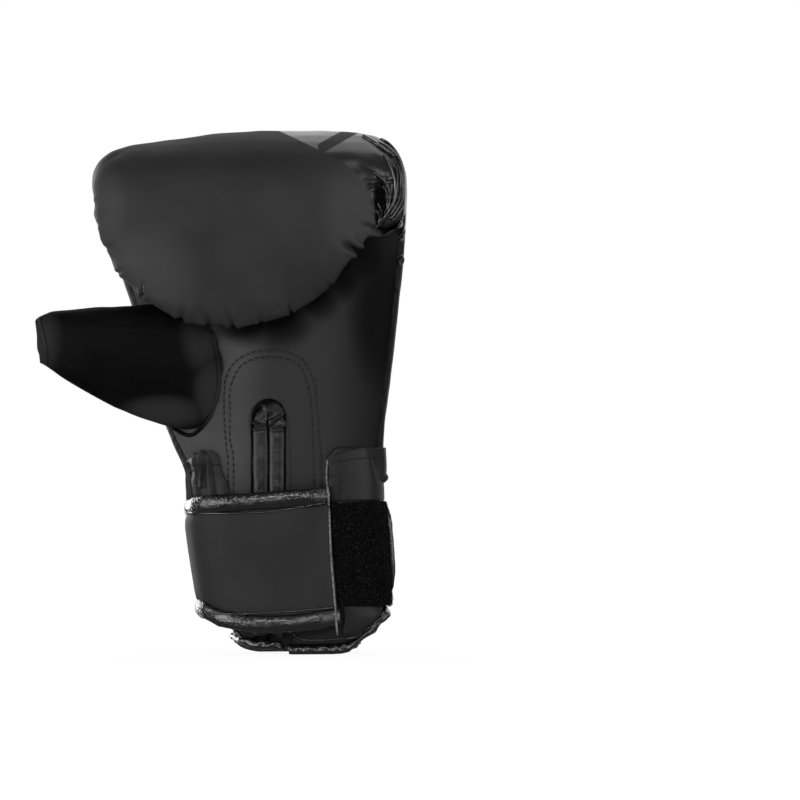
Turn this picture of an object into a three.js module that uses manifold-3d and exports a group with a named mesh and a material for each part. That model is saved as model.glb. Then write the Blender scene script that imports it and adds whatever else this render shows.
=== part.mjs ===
// A left-hand bag glove: a padded mitt with a finger roll, a thumb sleeve and a strapped cuff.
// It stands on its cuff with the palm towards -Y, the back of the hand towards +Y and the thumb towards -X.
// Millimetres, +Z up, the origin on the floor under the middle of the glove's bounding box.

import * as THREE from "three";
import { mergeVertices } from "three/addons/utils/BufferGeometryUtils.js";
import Module from "manifold-3d";

const wasm = await Module();
wasm.setup();

// Overall sizes
const gloveHeight = 260.5; // floor to the top of the head
const headWidth = 156.5; // across the knuckles
const rollFront = 50; // from the glove's middle plane to the front of the finger roll
const cuffHeight = 88; // floor to the lower edge of the hand padding
const cuffWidth = 90; // across the cuff's own wall, under the band and the strap
const cuffDepth = 56; // front to back of the cuff's own wall
const headCentre = 13.6; // sideways place of the head
const cuffCentre = 33; // sideways place of the cuff

// Padding and leather
const backPadding = 28; // foam on the back of the hand
const sidePadding = 2.6; // foam at the little-finger and thumb sides
const rollThickness = 28; // foam and leather of the finger roll
const leather = 2; // palm panel, lining and thumb sleeve
const cuffWall = 3; // the cuff's padded wall
const bandThickness = 2;
const loopThickness = 1.6;
const strapThickness = 3;
const seamGap = 0.3; // between pieces that are sewn to each other

// Palm and thumb
const palmDrop = 47.5; // from the top of the head down to the palm panel's top edge, behind the roll
const palmBottom = 70; // where the palm leather meets the cuff's wall, under the strap
const rollDrop = 97; // from the top of the head down to the tip of the roll
const rollWidth = 140; // across the front of the roll
const rollCentre = 5;
const rollSeam = 15; // how far in front of the glove's middle plane the roll is sewn on
const thumbLength = 95.75; // from its root inside the palm to its open tip
const thumbRoot = 4; // sideways place of the root
const thumbHeight = 61; // across its widest section, up and down
const thumbDepth = 35; // across its widest section, front to back
const thumbDrop = 116; // from the top of the head down to the thumb's widest section

// Slit in the palm side of the cuff
const slitTop = 126.5;
const slitGap = 2.4;
const slitRoll = 6.8; // diameter of the rolled binding along the slit's edges
const slitCentre = 24; // sideways place

// Cuff dressing
const bandFrontRight = -66; // degrees round the cuff, where the band ends on the little-finger side
const bandFrontLeft = 230; // and on the thumb side
const bandFoot = 9; // height of the band's lower edge above the hem
const flapTop = 103; // top of the band where it laps over the palm
const loopBottom = 24;
const loopTop = 76;
const loopEnd = 160; // degrees
const strapRoot = 293; // degrees, where the strap is sewn to the band
const strapTip = 14; // degrees, its rounded end
const strapTop = 83.5; // top edge at the root
const strapBottom = 15; // lower edge at the root
const strapLift = 5.4; // how far its inner face stands off the cuff's wall
const bindingWidth = 8.5;
const bindingThickness = 4.6;
const hemRoll = 5.2; // diameter of the rolled hem

const roundness = 2.5; // exponent of the rounded horizontal sections
const seamRight = -12; // degrees, where the padding meets the palm panel on the little-finger side
const seamLeft = 192; // and on the thumb side

const leatherLook = { color: 0x2b2b2c, roughness: 0.62, metalness: 0 };
const darkLook = { color: 0x1f1f20, roughness: 0.68, metalness: 0 };
const glossLook = { color: 0x161617, roughness: 0.25, metalness: 0 };
const loopLook = { color: 0x101010, roughness: 0.95, metalness: 0 };

const creaseTop = gloveHeight - palmDrop;
const thumbMiddle = gloveHeight - thumbDrop;

const rad = THREE.MathUtils.degToRad;
const mix = THREE.MathUtils.lerp;
const smooth = THREE.MathUtils.smoothstep;
const signedPower = (value, power) => Math.sign(value) * Math.abs(value) ** power;

// Value of one column of a table at a place, on a smooth curve through its rows.
function readTable(table, key, place, column) {
  const last = table.length - 1;
  const found = table.findIndex((row) => row[key] >= place);
  const i = found < 0 ? last : Math.max(found, 1);
  const rows = [i - 2, i - 1, i, i + 1].map((k) => table[THREE.MathUtils.clamp(k, 0, last)]);
  const [before, low, high, after] = rows.map((row) => row[column]);
  const [keyBefore, keyLow, keyHigh, keyAfter] = rows.map((row) => row[key]);
  const span = keyHigh - keyLow;
  const t = THREE.MathUtils.clamp((place - keyLow) / span, 0, 1);
  const slopeLow = (span * (high - before)) / (keyHigh - keyBefore || 1);
  const slopeHigh = (span * (after - low)) / (keyAfter - keyLow || 1);
  const t2 = t * t;
  const t3 = t2 * t;
  return (
    (2 * t3 - 3 * t2 + 1) * low +
    (t3 - 2 * t2 + t) * slopeLow +
    (3 * t2 - 2 * t3) * high +
    (t3 - t2) * slopeHigh
  );
}

// The hand's own tube, from the hem to the knuckles, as shares of the sizes above.
// up: 0 at the floor, 1 at the padding's lower edge, 2 at the top of the head.
// lean: 0 over the cuff's centre, 1 over the head's. spread: 0 as wide as the cuff, 1 as wide as the head.
// front and back: shares of half the cuff's depth. foam: share of the back padding.
const tube = [
  { up: 0.0, lean: -0.42, spread: -0.17, front: 0.9, back: 0.9, foam: 0.2 },
  { up: 0.28, lean: -0.27, spread: -0.07, front: 0.97, back: 0.97, foam: 0.2 },
  { up: 0.85, lean: 0.0, spread: 0.0, front: 1.0, back: 0.96, foam: 0.2 },
  { up: 1.0, lean: 0.05, spread: 0.03, front: 0.98, back: 0.86, foam: 0.3 },
  { up: 1.07, lean: 0.22, spread: 0.12, front: 0.95, back: 0.72, foam: 0.58 },
  { up: 1.15, lean: 0.37, spread: 0.22, front: 0.91, back: 0.62, foam: 0.84 },
  { up: 1.3, lean: 0.46, spread: 0.4, front: 0.86, back: 0.61, foam: 1.0 },
  { up: 1.45, lean: 0.56, spread: 0.55, front: 0.79, back: 0.68, foam: 1.03 },
  { up: 1.65, lean: 0.79, spread: 0.81, front: 0.65, back: 0.75, foam: 1.01 },
  { up: 1.83, lean: 1.0, spread: 1.0, front: 0.57, back: 0.75, foam: 0.98 },
  { up: 1.91, lean: 1.0, spread: 0.97, front: 0.57, back: 0.7, foam: 0.9 },
];
const upOf = (height) =>
  height <= cuffHeight ? height / cuffHeight : 1 + (height - cuffHeight) / (gloveHeight - cuffHeight);
const heightOf = (up) =>
  up <= 1 ? up * cuffHeight : mix(cuffHeight, gloveHeight, up - 1);
const tubeAt = (height, column) => readTable(tube, "up", upOf(height), column);

// Point of the tube's outer face at an angle (degrees, 0 at +X, 90 at the back), moved outwards by offset.
function tubePoint(angle, height, offset = 0) {
  const wide = mix(cuffWidth / 2, headWidth / 2 - sidePadding, tubeAt(height, "spread"));
  const side = Math.sin(rad(angle)) < 0 ? "front" : "back";
  const deep = (cuffDepth / 2) * tubeAt(height, side);
  const x = wide * signedPower(Math.cos(rad(angle)), 2 / roundness);
  const y = deep * signedPower(Math.sin(rad(angle)), 2 / roundness);
  const normal = new THREE.Vector2(
    signedPower(x / wide, roundness - 1) / wide,
    signedPower(y / deep, roundness - 1) / deep,
  ).normalize();
  const centre = mix(cuffCentre, headCentre, tubeAt(height, "lean"));
  return new THREE.Vector3(centre + x + normal.x * offset, y + normal.y * offset, height);
}

// Angle on the palm side where the tube's face stands at a sideways place.
function palmAngle(x, height) {
  const wide = mix(cuffWidth / 2, headWidth / 2 - sidePadding, tubeAt(height, "spread"));
  const share = (x - mix(cuffCentre, headCentre, tubeAt(height, "lean"))) / wide;
  return 360 - THREE.MathUtils.radToDeg(Math.acos(signedPower(share, roundness / 2)));
}

// Thickness of the hand padding round the tube.
function padThickness(angle, height) {
  const foam = backPadding * tubeAt(height, "foam");
  const side = Math.min(sidePadding, foam);
  const toBack = smooth(Math.sin(rad(angle)), 0.1, 1);
  const fromSeam = smooth(Math.min(angle - seamRight, seamLeft - angle), 0, 28);
  return mix(mix(side * 0.55, side, fromSeam), foam, toBack);
}

// Solids: a closed surface from points and faces, and the two ways between three.js and manifold-3d.
function closedGeometry(points, faces) {
  const geometry = new THREE.BufferGeometry();
  geometry.setAttribute("position", new THREE.Float32BufferAttribute(points.flatMap((p) => p.toArray()), 3));
  const volume = faces.reduce(
    (sum, [a, b, c]) => sum + points[a].dot(new THREE.Vector3().crossVectors(points[b], points[c])),
    0,
  );
  geometry.setIndex(faces.flatMap(([a, b, c]) => (volume < 0 ? [a, c, b] : [a, b, c])));
  return geometry;
}

function toSolid(geometry) {
  const bare = geometry.clone();
  bare.deleteAttribute("normal");
  bare.deleteAttribute("uv");
  const merged = mergeVertices(bare, 1e-4);
  return new wasm.Manifold(
    new wasm.Mesh({
      numProp: 3,
      vertProperties: merged.getAttribute("position").array,
      triVerts: new Uint32Array(merged.index.array),
    }),
  );
}

function toGeometry(solid) {
  const { vertProperties, triVerts } = solid.getMesh();
  const geometry = new THREE.BufferGeometry();
  geometry.setAttribute("position", new THREE.Float32BufferAttribute(vertProperties, 3));
  geometry.setIndex(Array.from(triVerts));
  return geometry;
}

// Skin over a row of rings with equal, even numbers of points. Each end is closed by a ladder of faces
// whose rungs join a ring's first half to its second.
function loft(rings) {
  const count = rings[0].length;
  const points = rings.flat();
  const faces = [];
  for (let i = 0; i + 1 < rings.length; i++)
    for (let j = 0; j < count; j++) {
      const k = (j + 1) % count;
      const [a, b, c, d] = [i * count + j, i * count + k, (i + 1) * count + j, (i + 1) * count + k];
      faces.push([a, b, d], [a, d, c]);
    }
  const end = (rings.length - 1) * count;
  for (let j = 0; j + 1 < count / 2; j++) {
    const [a, b, c, d] = [j, j + 1, count - 2 - j, count - 1 - j];
    faces.push([a, c, b], [a, d, c], [end + a, end + b, end + c], [end + a, end + c, end + d]);
  }
  return closedGeometry(points, faces);
}

// A wall over the tube: from one angle to another, between two heights and two offsets,
// each of which may change along the way.
function wrappedWall({ from, to, low, high, inner, outer, columns, rows }) {
  const rings = [];
  for (let i = 0; i <= columns; i++) {
    const angle = mix(from, to, i / columns);
    const heights = Array.from({ length: rows + 1 }, (_, j) => mix(low(angle), high(angle), j / rows));
    const face = (offset) => heights.map((height) => tubePoint(angle, height, offset(angle, height)));
    rings.push([...face(outer), ...face(inner).reverse()]);
  }
  return loft(rings);
}

// The tube filled solid up to an offset from its face, over its whole height.
const tubeSides = 36;
const tubeLevels = [-0.07, 0.25, 0.57, 0.84, 1, 1.05, 1.12, 1.21, 1.34, 1.49, 1.69, 1.84];

function filledTube(offset) {
  const rings = tubeLevels.map((level) =>
    Array.from({ length: tubeSides }, (_, k) => tubePoint((360 * k) / tubeSides, heightOf(level), offset)),
  );
  return toSolid(loft(rings));
}

// A patch of the layer between two offsets from the tube's face.
function layer({ from, to, low, high, inner, outer, columns, rows }) {
  const patch = wrappedWall({
    from,
    to,
    low,
    high,
    inner: () => inner - 3,
    outer: () => outer + 3,
    columns,
    rows,
  });
  return toSolid(patch).intersect(filledTube(outer)).subtract(filledTube(inner));
}

// A rolled edge: an oval section carried along points that each have an outward direction.
function rolledEdge(path, halfWidth, halfHeight, sides, sharpness = 2, start = 0) {
  const rings = path.map(({ point, outward }, i) => {
    const before = path[Math.max(i - 1, 0)].point;
    const after = path[Math.min(i + 1, path.length - 1)].point;
    const along = after.clone().sub(before).normalize();
    const across = new THREE.Vector3().crossVectors(along, outward).normalize();
    const up = new THREE.Vector3().crossVectors(across, along).normalize();
    return Array.from({ length: sides }, (_, k) => {
      const turn = (2 * Math.PI * (k + start)) / sides;
      return point
        .clone()
        .addScaledVector(across, halfWidth * signedPower(Math.cos(turn), 2 / sharpness))
        .addScaledVector(up, halfHeight * signedPower(Math.sin(turn), 2 / sharpness));
    });
  });
  return loft(rings);
}

// Outward direction of the tube's face, seen from above.
function outwardAt(angle, height) {
  return tubePoint(angle, height, 1).sub(tubePoint(angle, height, 0)).normalize();
}

// Pleats where the roll's leather is gathered to its seam.
// turn: degrees round the roll's face, 0 at +X and 270 at its tip. depth: share of the deepest. width: degrees.
const pleatDepth = 4.5;
const pleats = [
  { turn: 176, depth: 0.35, width: 5 },
  { turn: 188, depth: 0.45, width: 5 },
  { turn: 199, depth: 0.5, width: 5 },
  { turn: 225, depth: 0.6, width: 6 },
  { turn: 243, depth: 0.8, width: 6 },
  { turn: 263, depth: 0.6, width: 5 },
  { turn: 283, depth: 0.7, width: 5 },
  { turn: 305, depth: 0.75, width: 5 },
  { turn: 331, depth: 1.0, width: 6 },
  { turn: 350, depth: 0.9, width: 6 },
];
const rollMiddle = gloveHeight - 0.42 * rollDrop;

function pleatAt(x, height, edge) {
  const turn = (THREE.MathUtils.radToDeg(Math.atan2(height - rollMiddle, x - rollCentre)) + 360) % 360;
  const pull = pleats.reduce(
    (sum, pleat) => sum + pleat.depth * Math.exp(-(((turn - pleat.turn) / pleat.width) ** 2)),
    -0.3,
  );
  return pleatDepth * pull * smooth(edge, 0.62, 1);
}

// The head: the padding closed over the knuckles, from the top of the palm panel up. Its back half carries on
// the padding's own section and its front half is as deep as the roll.
// rise: 0 at the crease, 1 at the top. left, right, back: shares of the padding's section.
// front: share of the way from the middle to the roll's face.
const head = [
  { rise: -0.1, left: 0.86, right: 0.9, front: 0.7, back: 0.9 },
  { rise: 0.02, left: 1.0, right: 1.0, front: 0.92, back: 1.0 },
  { rise: 0.16, left: 1.0, right: 1.0, front: 0.99, back: 1.0 },
  { rise: 0.28, left: 1.0, right: 1.0, front: 1.0, back: 1.0 },
  { rise: 0.42, left: 1.0, right: 1.0, front: 0.98, back: 0.98 },
  { rise: 0.56, left: 1.0, right: 1.0, front: 0.93, back: 0.94 },
  { rise: 0.68, left: 0.97, right: 0.98, front: 0.84, back: 0.86 },
  { rise: 0.78, left: 0.9, right: 0.95, front: 0.73, back: 0.76 },
  { rise: 0.87, left: 0.76, right: 0.9, front: 0.6, back: 0.63 },
  { rise: 0.94, left: 0.54, right: 0.83, front: 0.42, back: 0.46 },
  { rise: 0.985, left: 0.2, right: 0.7, front: 0.22, back: 0.25 },
  { rise: 1.0, left: -0.1, right: 0.5, front: 0.07, back: 0.08 },
];
const frontSharpness = 3.2;
const headLap = 0.1; // by which the head's skin laps the padding below it

function headLoft() {
  const steps = 20;
  return loft(
    head.map(({ rise, left, right, front, back }) => {
      const height = mix(creaseTop, gloveHeight, rise);
      const at = (angle) =>
        tubePoint(angle, height, padThickness(angle, height) + (rise < 0 ? -headLap : headLap));
      const [rightEnd, leftEnd] = [at(0).x, at(180).x];
      const base = (rightEnd + leftEnd) / 2;
      const half = (rightEnd - leftEnd) / 2;
      const place = (across, y) =>
        new THREE.Vector3(base + (half / 2) * (right - left + across * (left + right)), y, height);
      return Array.from({ length: 2 * steps }, (_, k) => {
        const angle = (180 * k) / steps;
        if (k <= steps) {
          const point = at(angle);
          return place((point.x - base) / half, point.y * back);
        }
        const deep = -signedPower(Math.sin(rad(angle)), 2 / frontSharpness);
        return place(signedPower(Math.cos(rad(angle)), 2 / frontSharpness), -deep * rollFront * front);
      });
    }),
  );
}

// The finger roll that hangs from the head in front of the palm.
// down: 0 at the top of the head, 1 at the roll's tip. wide: share of half the roll's width.
// aside: sideways shift, share of its width. thick: share of its thickness. sag: how far its ends stand back.
const roll = [
  { down: 0.3, wide: 0.86, aside: 0.02, thick: 0.7, sag: 0.7 },
  { down: 0.42, wide: 0.99, aside: 0.02, thick: 0.9, sag: 0.5 },
  { down: 0.5, wide: 0.98, aside: 0.016, thick: 1.0, sag: 0.34 },
  { down: 0.6, wide: 0.93, aside: 0.0, thick: 1.0, sag: 0.3 },
  { down: 0.7, wide: 0.85, aside: -0.006, thick: 0.95, sag: 0.26 },
  { down: 0.79, wide: 0.745, aside: -0.008, thick: 0.87, sag: 0.24 },
  { down: 0.87, wide: 0.6, aside: -0.014, thick: 0.74, sag: 0.22 },
  { down: 0.94, wide: 0.42, aside: -0.014, thick: 0.54, sag: 0.16 },
  { down: 0.985, wide: 0.25, aside: -0.006, thick: 0.3, sag: 0.1 },
  { down: 1.0, wide: 0.1, aside: 0.0, thick: 0.1, sag: 0 },
];
const rollSharpness = 2.7;
const rollSides = 32;

function rollLoft() {
  return loft(
    roll.map(({ down, wide, aside, thick, sag }) =>
      Array.from({ length: rollSides }, (_, k) => {
        const turn = (2 * Math.PI * k) / rollSides;
        const across = signedPower(Math.cos(turn), 2 / rollSharpness);
        const through = signedPower(Math.sin(turn), 2 / rollSharpness);
        const point = new THREE.Vector3(
          rollCentre + aside * rollWidth + (rollWidth / 2) * wide * across,
          -rollFront + rollThickness * (0.5 + (thick / 2) * through + sag * Math.abs(across) ** 3),
          gloveHeight - down * rollDrop,
        );
        const edge = Math.max(Math.abs(across), smooth(down, 0.6, 1));
        const inwards = new THREE.Vector2(point.x - rollCentre, point.z - rollMiddle).normalize();
        const depth = pleatAt(point.x, point.z, edge);
        point.x -= inwards.x * depth;
        point.z -= inwards.y * depth;
        return point;
      }),
    ),
  );
}

// Room for the fingertips: a flat passage from the hand's hollow forward over the crease into the roll.
// forward: how far in front of y = 0, share of the roll's front. drop: share of the passage's thickness.
const pocketThickness = 14;
const pocketSides = 20;
const fingerWall = 16; // foam and leather round the passage's sides
const pocket = [
  { forward: -0.15, drop: 0.0, wide: 0.9 },
  { forward: 0.25, drop: 0.0, wide: 0.9 },
  { forward: 0.5, drop: 0.05, wide: 0.85 },
  { forward: 0.66, drop: 0.12, wide: 0.75 },
  { forward: 0.73, drop: 0.18, wide: 0.6 },
];

function fingerPocket() {
  return loft(
    pocket.map(({ forward, drop, wide }) =>
      Array.from({ length: pocketSides }, (_, k) => {
        const turn = (2 * Math.PI * k) / pocketSides;
        return new THREE.Vector3(
          rollCentre + (rollWidth / 2 - fingerWall) * wide * signedPower(Math.cos(turn), 0.8),
          -forward * rollFront,
          creaseTop + leather + pocketThickness * (0.5 - drop + 0.5 * wide * signedPower(Math.sin(turn), 0.8)),
        );
      }),
    ),
  );
}

// Everything in front of the plane where the finger roll is sewn to the hand padding.
function frontOfSeam(clearance) {
  const size = 4 * rollFront;
  const block = new THREE.BoxGeometry(2 * gloveHeight, size, 2 * gloveHeight);
  return toSolid(block.translate(0, clearance - rollSeam - size / 2, gloveHeight));
}

// Thumb sleeve, as shares of its sizes. along: 0 at its root, 1 at its open tip.
// rise: middle height over its widest section. forward: how far its middle stands in front of y = 0.
const thumb = [
  { along: 0.0, rise: -0.07, tall: 0.44, forward: 0.46, deep: 0.36 },
  { along: 0.09, rise: -0.07, tall: 0.82, forward: 0.43, deep: 0.66 },
  { along: 0.19, rise: -0.055, tall: 0.98, forward: 0.46, deep: 0.9 },
  { along: 0.34, rise: 0.005, tall: 0.98, forward: 0.54, deep: 1.0 },
  { along: 0.52, rise: 0.04, tall: 0.86, forward: 0.63, deep: 0.95 },
  { along: 0.62, rise: 0.077, tall: 0.78, forward: 0.66, deep: 0.86 },
  { along: 0.74, rise: 0.123, tall: 0.66, forward: 0.69, deep: 0.72 },
  { along: 0.87, rise: 0.172, tall: 0.53, forward: 0.71, deep: 0.52 },
  { along: 0.95, rise: 0.2, tall: 0.44, forward: 0.72, deep: 0.34 },
  { along: 1.0, rise: 0.195, tall: 0.36, forward: 0.72, deep: 0.2 },
];

const thumbSides = 22;

function thumbLoft(wall, extra) {
  const steps = 12;
  const rings = Array.from({ length: steps + 1 }, (_, i) => {
    const along = i / steps;
    const at = (column) => readTable(thumb, "along", along, column);
    const halfHeight = (thumbHeight / 2) * at("tall") - wall;
    const halfDepth = Math.max((thumbDepth / 2) * at("deep") - wall, 1.1);
    const x = thumbRoot - thumbLength * along - (i === steps ? extra : 0);
    return Array.from({ length: thumbSides }, (_, k) => {
      const turn = (2 * Math.PI * k) / thumbSides;
      return new THREE.Vector3(
        x,
        -thumbDepth * at("forward") + halfDepth * signedPower(Math.cos(turn), 0.87),
        thumbMiddle + thumbHeight * at("rise") + halfHeight * signedPower(Math.sin(turn), 0.87),
      );
    });
  });
  return loft(rings);
}

// The slit's two edges and its round top, on the palm side.
function slitPath(halfSpan, bottom, offset) {
  const path = [];
  const add = (x, height) => {
    const angle = palmAngle(x, height);
    path.push({ point: tubePoint(angle, height, offset), outward: outwardAt(angle, height) });
  };
  const straight = 9;
  const archFoot = slitTop - halfSpan;
  for (let i = 0; i <= straight; i++) add(slitCentre - halfSpan, mix(bottom, archFoot, i / straight));
  for (let turn = 150; turn > 0; turn -= 30)
    add(slitCentre + halfSpan * Math.cos(rad(turn)), archFoot + halfSpan * Math.sin(rad(turn)));
  for (let i = straight; i >= 0; i--) add(slitCentre + halfSpan, mix(bottom, archFoot, i / straight));
  return path;
}

// What is cut from the palm panel and the cuff for the slit and its rolled edges.
function slitCut() {
  const half = slitGap / 2 + slitRoll + seamGap;
  const outline = new THREE.Shape();
  outline.moveTo(slitCentre - half, -5);
  outline.lineTo(slitCentre + half, -5);
  outline.lineTo(slitCentre + half, slitTop - half + slitRoll / 2 + seamGap);
  outline.absarc(slitCentre, slitTop - half + slitRoll / 2 + seamGap, half, 0, Math.PI, false);
  const depth = cuffDepth;
  return new THREE.ExtrudeGeometry(outline, { depth, bevelEnabled: false, curveSegments: 12 })
    .rotateX(Math.PI / 2)
    .translate(0, -6, 0);
}

// Height of the hem's lower edge round the cuff: on the floor in front and behind, raised at the two sides.
const hem = [
  { angle: -70, rise: 0 },
  { angle: -60, rise: 0.03 },
  { angle: -50, rise: 0.12 },
  { angle: -40, rise: 0.38 },
  { angle: -26, rise: 0.66 },
  { angle: -8, rise: 1.0 },
  { angle: 20, rise: 0.7 },
  { angle: 48, rise: 0.1 },
  { angle: 62, rise: 0 },
  { angle: 140, rise: 0 },
  { angle: 162, rise: 0.06 },
  { angle: 185, rise: 0.2 },
  { angle: 203, rise: 0.14 },
  { angle: 216, rise: 0 },
  { angle: 290, rise: 0 },
];
const hemRise = 20; // at the little-finger side
const hemHeight = (angle) =>
  hemRise * Math.max(0, readTable(hem, "angle", angle > 290 ? angle - 360 : angle, "rise"));

// Edges of the strap from its root to its tip, in height over the band's foot and as shares of its width.
const strapEdges = [
  { along: 0.0, top: 1.0, bottom: 0.0 },
  { along: 0.12, top: 0.96, bottom: -0.06 },
  { along: 0.26, top: 0.935, bottom: -0.02 },
  { along: 0.36, top: 0.91, bottom: 0.06 },
  { along: 0.46, top: 0.88, bottom: 0.03 },
  { along: 0.58, top: 0.87, bottom: 0.0 },
  { along: 0.72, top: 0.89, bottom: 0.03 },
  { along: 0.88, top: 0.94, bottom: 0.1 },
  { along: 1.0, top: 0.96, bottom: 0.16 },
];
const strapAlong = (angle) => (strapRoot - angle) / (strapRoot - strapTip);
const strapHeight = (angle, column) =>
  mix(strapBottom, strapTop, readTable(strapEdges, "along", strapAlong(angle), column));
const tipRadius = 20;
const strapReach = (angle) => ((angle - strapTip) * Math.PI * cuffWidth) / 2 / 180; // from the tip, in millimetres
const strapOffset = (angle) => mix(bandThickness - 0.7, strapLift, smooth(strapRoot - angle, 0, 16));

// The strap's outline drawn inwards by an inset, with its two corners rounded at the tip.
function strapEdge(angle, side, inset) {
  const reach = Math.max(strapReach(angle) - inset, 0);
  const radius = tipRadius - inset;
  const corner = reach < radius ? radius - Math.sqrt(radius ** 2 - (radius - reach) ** 2) : 0;
  const edge = strapHeight(angle, side);
  return side === "top" ? edge - inset - corner : edge + inset + corner;
}

function strapPanel() {
  const inset = bindingWidth * 0.55;
  const end = strapTip + (inset * 180) / (Math.PI * (cuffWidth / 2));
  return wrappedWall({
    from: end,
    to: strapRoot,
    low: (angle) => strapEdge(angle, "bottom", inset),
    high: (angle) => strapEdge(angle, "top", inset),
    inner: strapOffset,
    outer: (angle) => strapOffset(angle) + strapThickness,
    columns: 24,
    rows: 1,
  });
}

function strapBindingPath() {
  const inset = bindingWidth / 2;
  const path = [];
  const add = (angle, height) => {
    const offset = strapOffset(angle) + strapThickness / 2;
    path.push({ point: tubePoint(angle, height, offset), outward: outwardAt(angle, height) });
  };
  const radius = tipRadius - inset;
  const toDegrees = (length) => (length * 180) / (Math.PI * (cuffWidth / 2));
  const cornerAngle = strapTip + toDegrees(inset + radius);
  const steps = 20;
  for (let i = 0; i <= steps; i++) {
    const angle = mix(strapRoot, cornerAngle, i / steps);
    add(angle, strapHeight(angle, "top") - inset);
  }
  for (const turn of [20, 45, 70]) {
    const angle = cornerAngle - toDegrees(radius * Math.sin(rad(turn)));
    add(angle, strapHeight(angle, "top") - inset - radius * (1 - Math.cos(rad(turn))));
  }
  const tipAngle = strapTip + toDegrees(inset);
  for (const share of [0.15, 0.5, 0.85])
    add(
      tipAngle,
      mix(
        strapHeight(tipAngle, "top") - inset - radius,
        strapHeight(tipAngle, "bottom") + inset + radius,
        share,
      ),
    );
  for (const turn of [70, 45, 20]) {
    const angle = cornerAngle - toDegrees(radius * Math.sin(rad(turn)));
    add(angle, strapHeight(angle, "bottom") + inset + radius * (1 - Math.cos(rad(turn))));
  }
  for (let i = steps; i >= 0; i--) {
    const angle = mix(strapRoot, cornerAngle, i / steps);
    add(angle, strapHeight(angle, "bottom") + inset);
  }
  return path;
}

// The band round the wrist laps over the palm at its two ends, and stops below the padding elsewhere.
function bandTop(angle) {
  const overRight = 1 - smooth(angle, seamRight - 15, seamRight - 8);
  const overLeft = smooth(angle, seamLeft + 8, seamLeft + 15);
  return mix(cuffHeight - 1.5, flapTop - 3 * overLeft, Math.max(overRight, overLeft));
}

// The pieces. Each is trimmed with its neighbours' forms, grown by the seam's gap.
const backShell = (clearance) =>
  toSolid(
    wrappedWall({
      from: seamRight - clearance,
      to: seamLeft + clearance,
      low: () => cuffHeight,
      high: () => creaseTop + 8,
      inner: () => -leather - 3,
      outer: (angle, height) => padThickness(angle, height) + clearance,
      columns: 28,
      rows: 9,
    }),
  );
const handHollow = filledTube(-leather);
const thumbHollow = toSolid(thumbLoft(leather, 2));
const slitHalfSpan = (slitGap + slitRoll) / 2;
const slitEdge = (clearance) => {
  const radius = slitRoll / 2 + clearance;
  return toSolid(rolledEdge(slitPath(slitHalfSpan, hemRoll + 2 - clearance, -0.6), radius, radius, 10));
};
const slitRoom = slitEdge(seamGap).add(toSolid(slitCut()));
const slitStart = palmAngle(slitCentre + slitHalfSpan, palmBottom) - 360;
const slitEnd = palmAngle(slitCentre - slitHalfSpan, palmBottom);

const hemSides = 8; // with one side flat on the floor
const hemEdge = (clearance) => {
  const radius = hemRoll / 2 + clearance;
  const path = [];
  for (let i = 0; i <= 44; i++) {
    const angle = mix(slitStart - 3, slitEnd + 3, i / 44);
    const height = hemHeight(angle) + (hemRoll / 2) * Math.cos(Math.PI / hemSides);
    path.push({ point: tubePoint(angle, height, -cuffWall / 2), outward: outwardAt(angle, height) });
  }
  return toSolid(rolledEdge(path, radius, radius, hemSides, 2, 0.5));
};
const strapEdging = (clearance) =>
  toSolid(
    rolledEdge(
      strapBindingPath(),
      bindingWidth / 2 + clearance,
      bindingThickness / 2 + clearance,
      8,
      2.6,
    ),
  );

const seamAngle = (seamGap * 360) / (Math.PI * cuffWidth);
const palmLayer = (grown) =>
  layer({
    from: seamLeft - grown * seamAngle,
    to: 360 + seamRight + grown * seamAngle,
    low: () => palmBottom,
    high: () => creaseTop - (1 - grown) * seamGap,
    inner: -leather - 4 * grown,
    outer: grown * seamGap,
    columns: 18,
    rows: 6,
  });
const palmPanel = palmLayer(0)
  .subtract(slitRoom)
  .subtract(thumbHollow);

const passage = toSolid(fingerPocket());
const headForm = toSolid(headLoft());
const handPad = headForm
  .subtract(frontOfSeam(seamGap))
  .add(backShell(0))
  .subtract(handHollow)
  .subtract(passage)
  .subtract(palmLayer(1))
  .subtract(thumbHollow);
const fingerRoll = headForm
  .add(toSolid(rollLoft()))
  .intersect(frontOfSeam(0))
  .subtract(handHollow)
  .subtract(passage)
  .subtract(palmLayer(1));

const thumbSleeve = toSolid(thumbLoft(0, 0))
  .subtract(thumbHollow)
  .subtract(filledTube(seamGap))
  .subtract(backShell(seamGap))
  .subtract(toSolid(rollLoft()));

const cuff = layer({
  from: slitStart,
  to: slitEnd,
  low: (angle) => hemHeight(angle) + hemRoll / 2,
  high: (angle) => {
    const behind = smooth(Math.sin(rad(angle)), 0.0, 0.1);
    return mix(palmBottom - seamGap, cuffHeight - seamGap, behind);
  },
  inner: -cuffWall,
  outer: 0,
  columns: 32,
  rows: 1,
})
  .subtract(slitRoom)
  .subtract(hemEdge(seamGap));

const wristBand = layer({
  from: bandFrontRight,
  to: bandFrontLeft,
  low: (angle) => hemHeight(angle) + bandFoot,
  high: bandTop,
  inner: seamGap,
  outer: seamGap + bandThickness,
  columns: 32,
  rows: 1,
});

const loopPatch = layer({
  from: bandFrontRight + 5,
  to: loopEnd,
  low: () => loopBottom,
  high: (angle) => loopTop - 6 * smooth(angle, -10, 60),
  inner: 2 * seamGap + bandThickness,
  outer: 2 * seamGap + bandThickness + loopThickness,
  columns: 24,
  rows: 1,
});

function piece(name, shape, look) {
  const geometry = shape.isBufferGeometry ? shape : toGeometry(shape);
  const mesh = new THREE.Mesh(geometry, new THREE.MeshStandardMaterial(look));
  mesh.name = name;
  return mesh;
}

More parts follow.
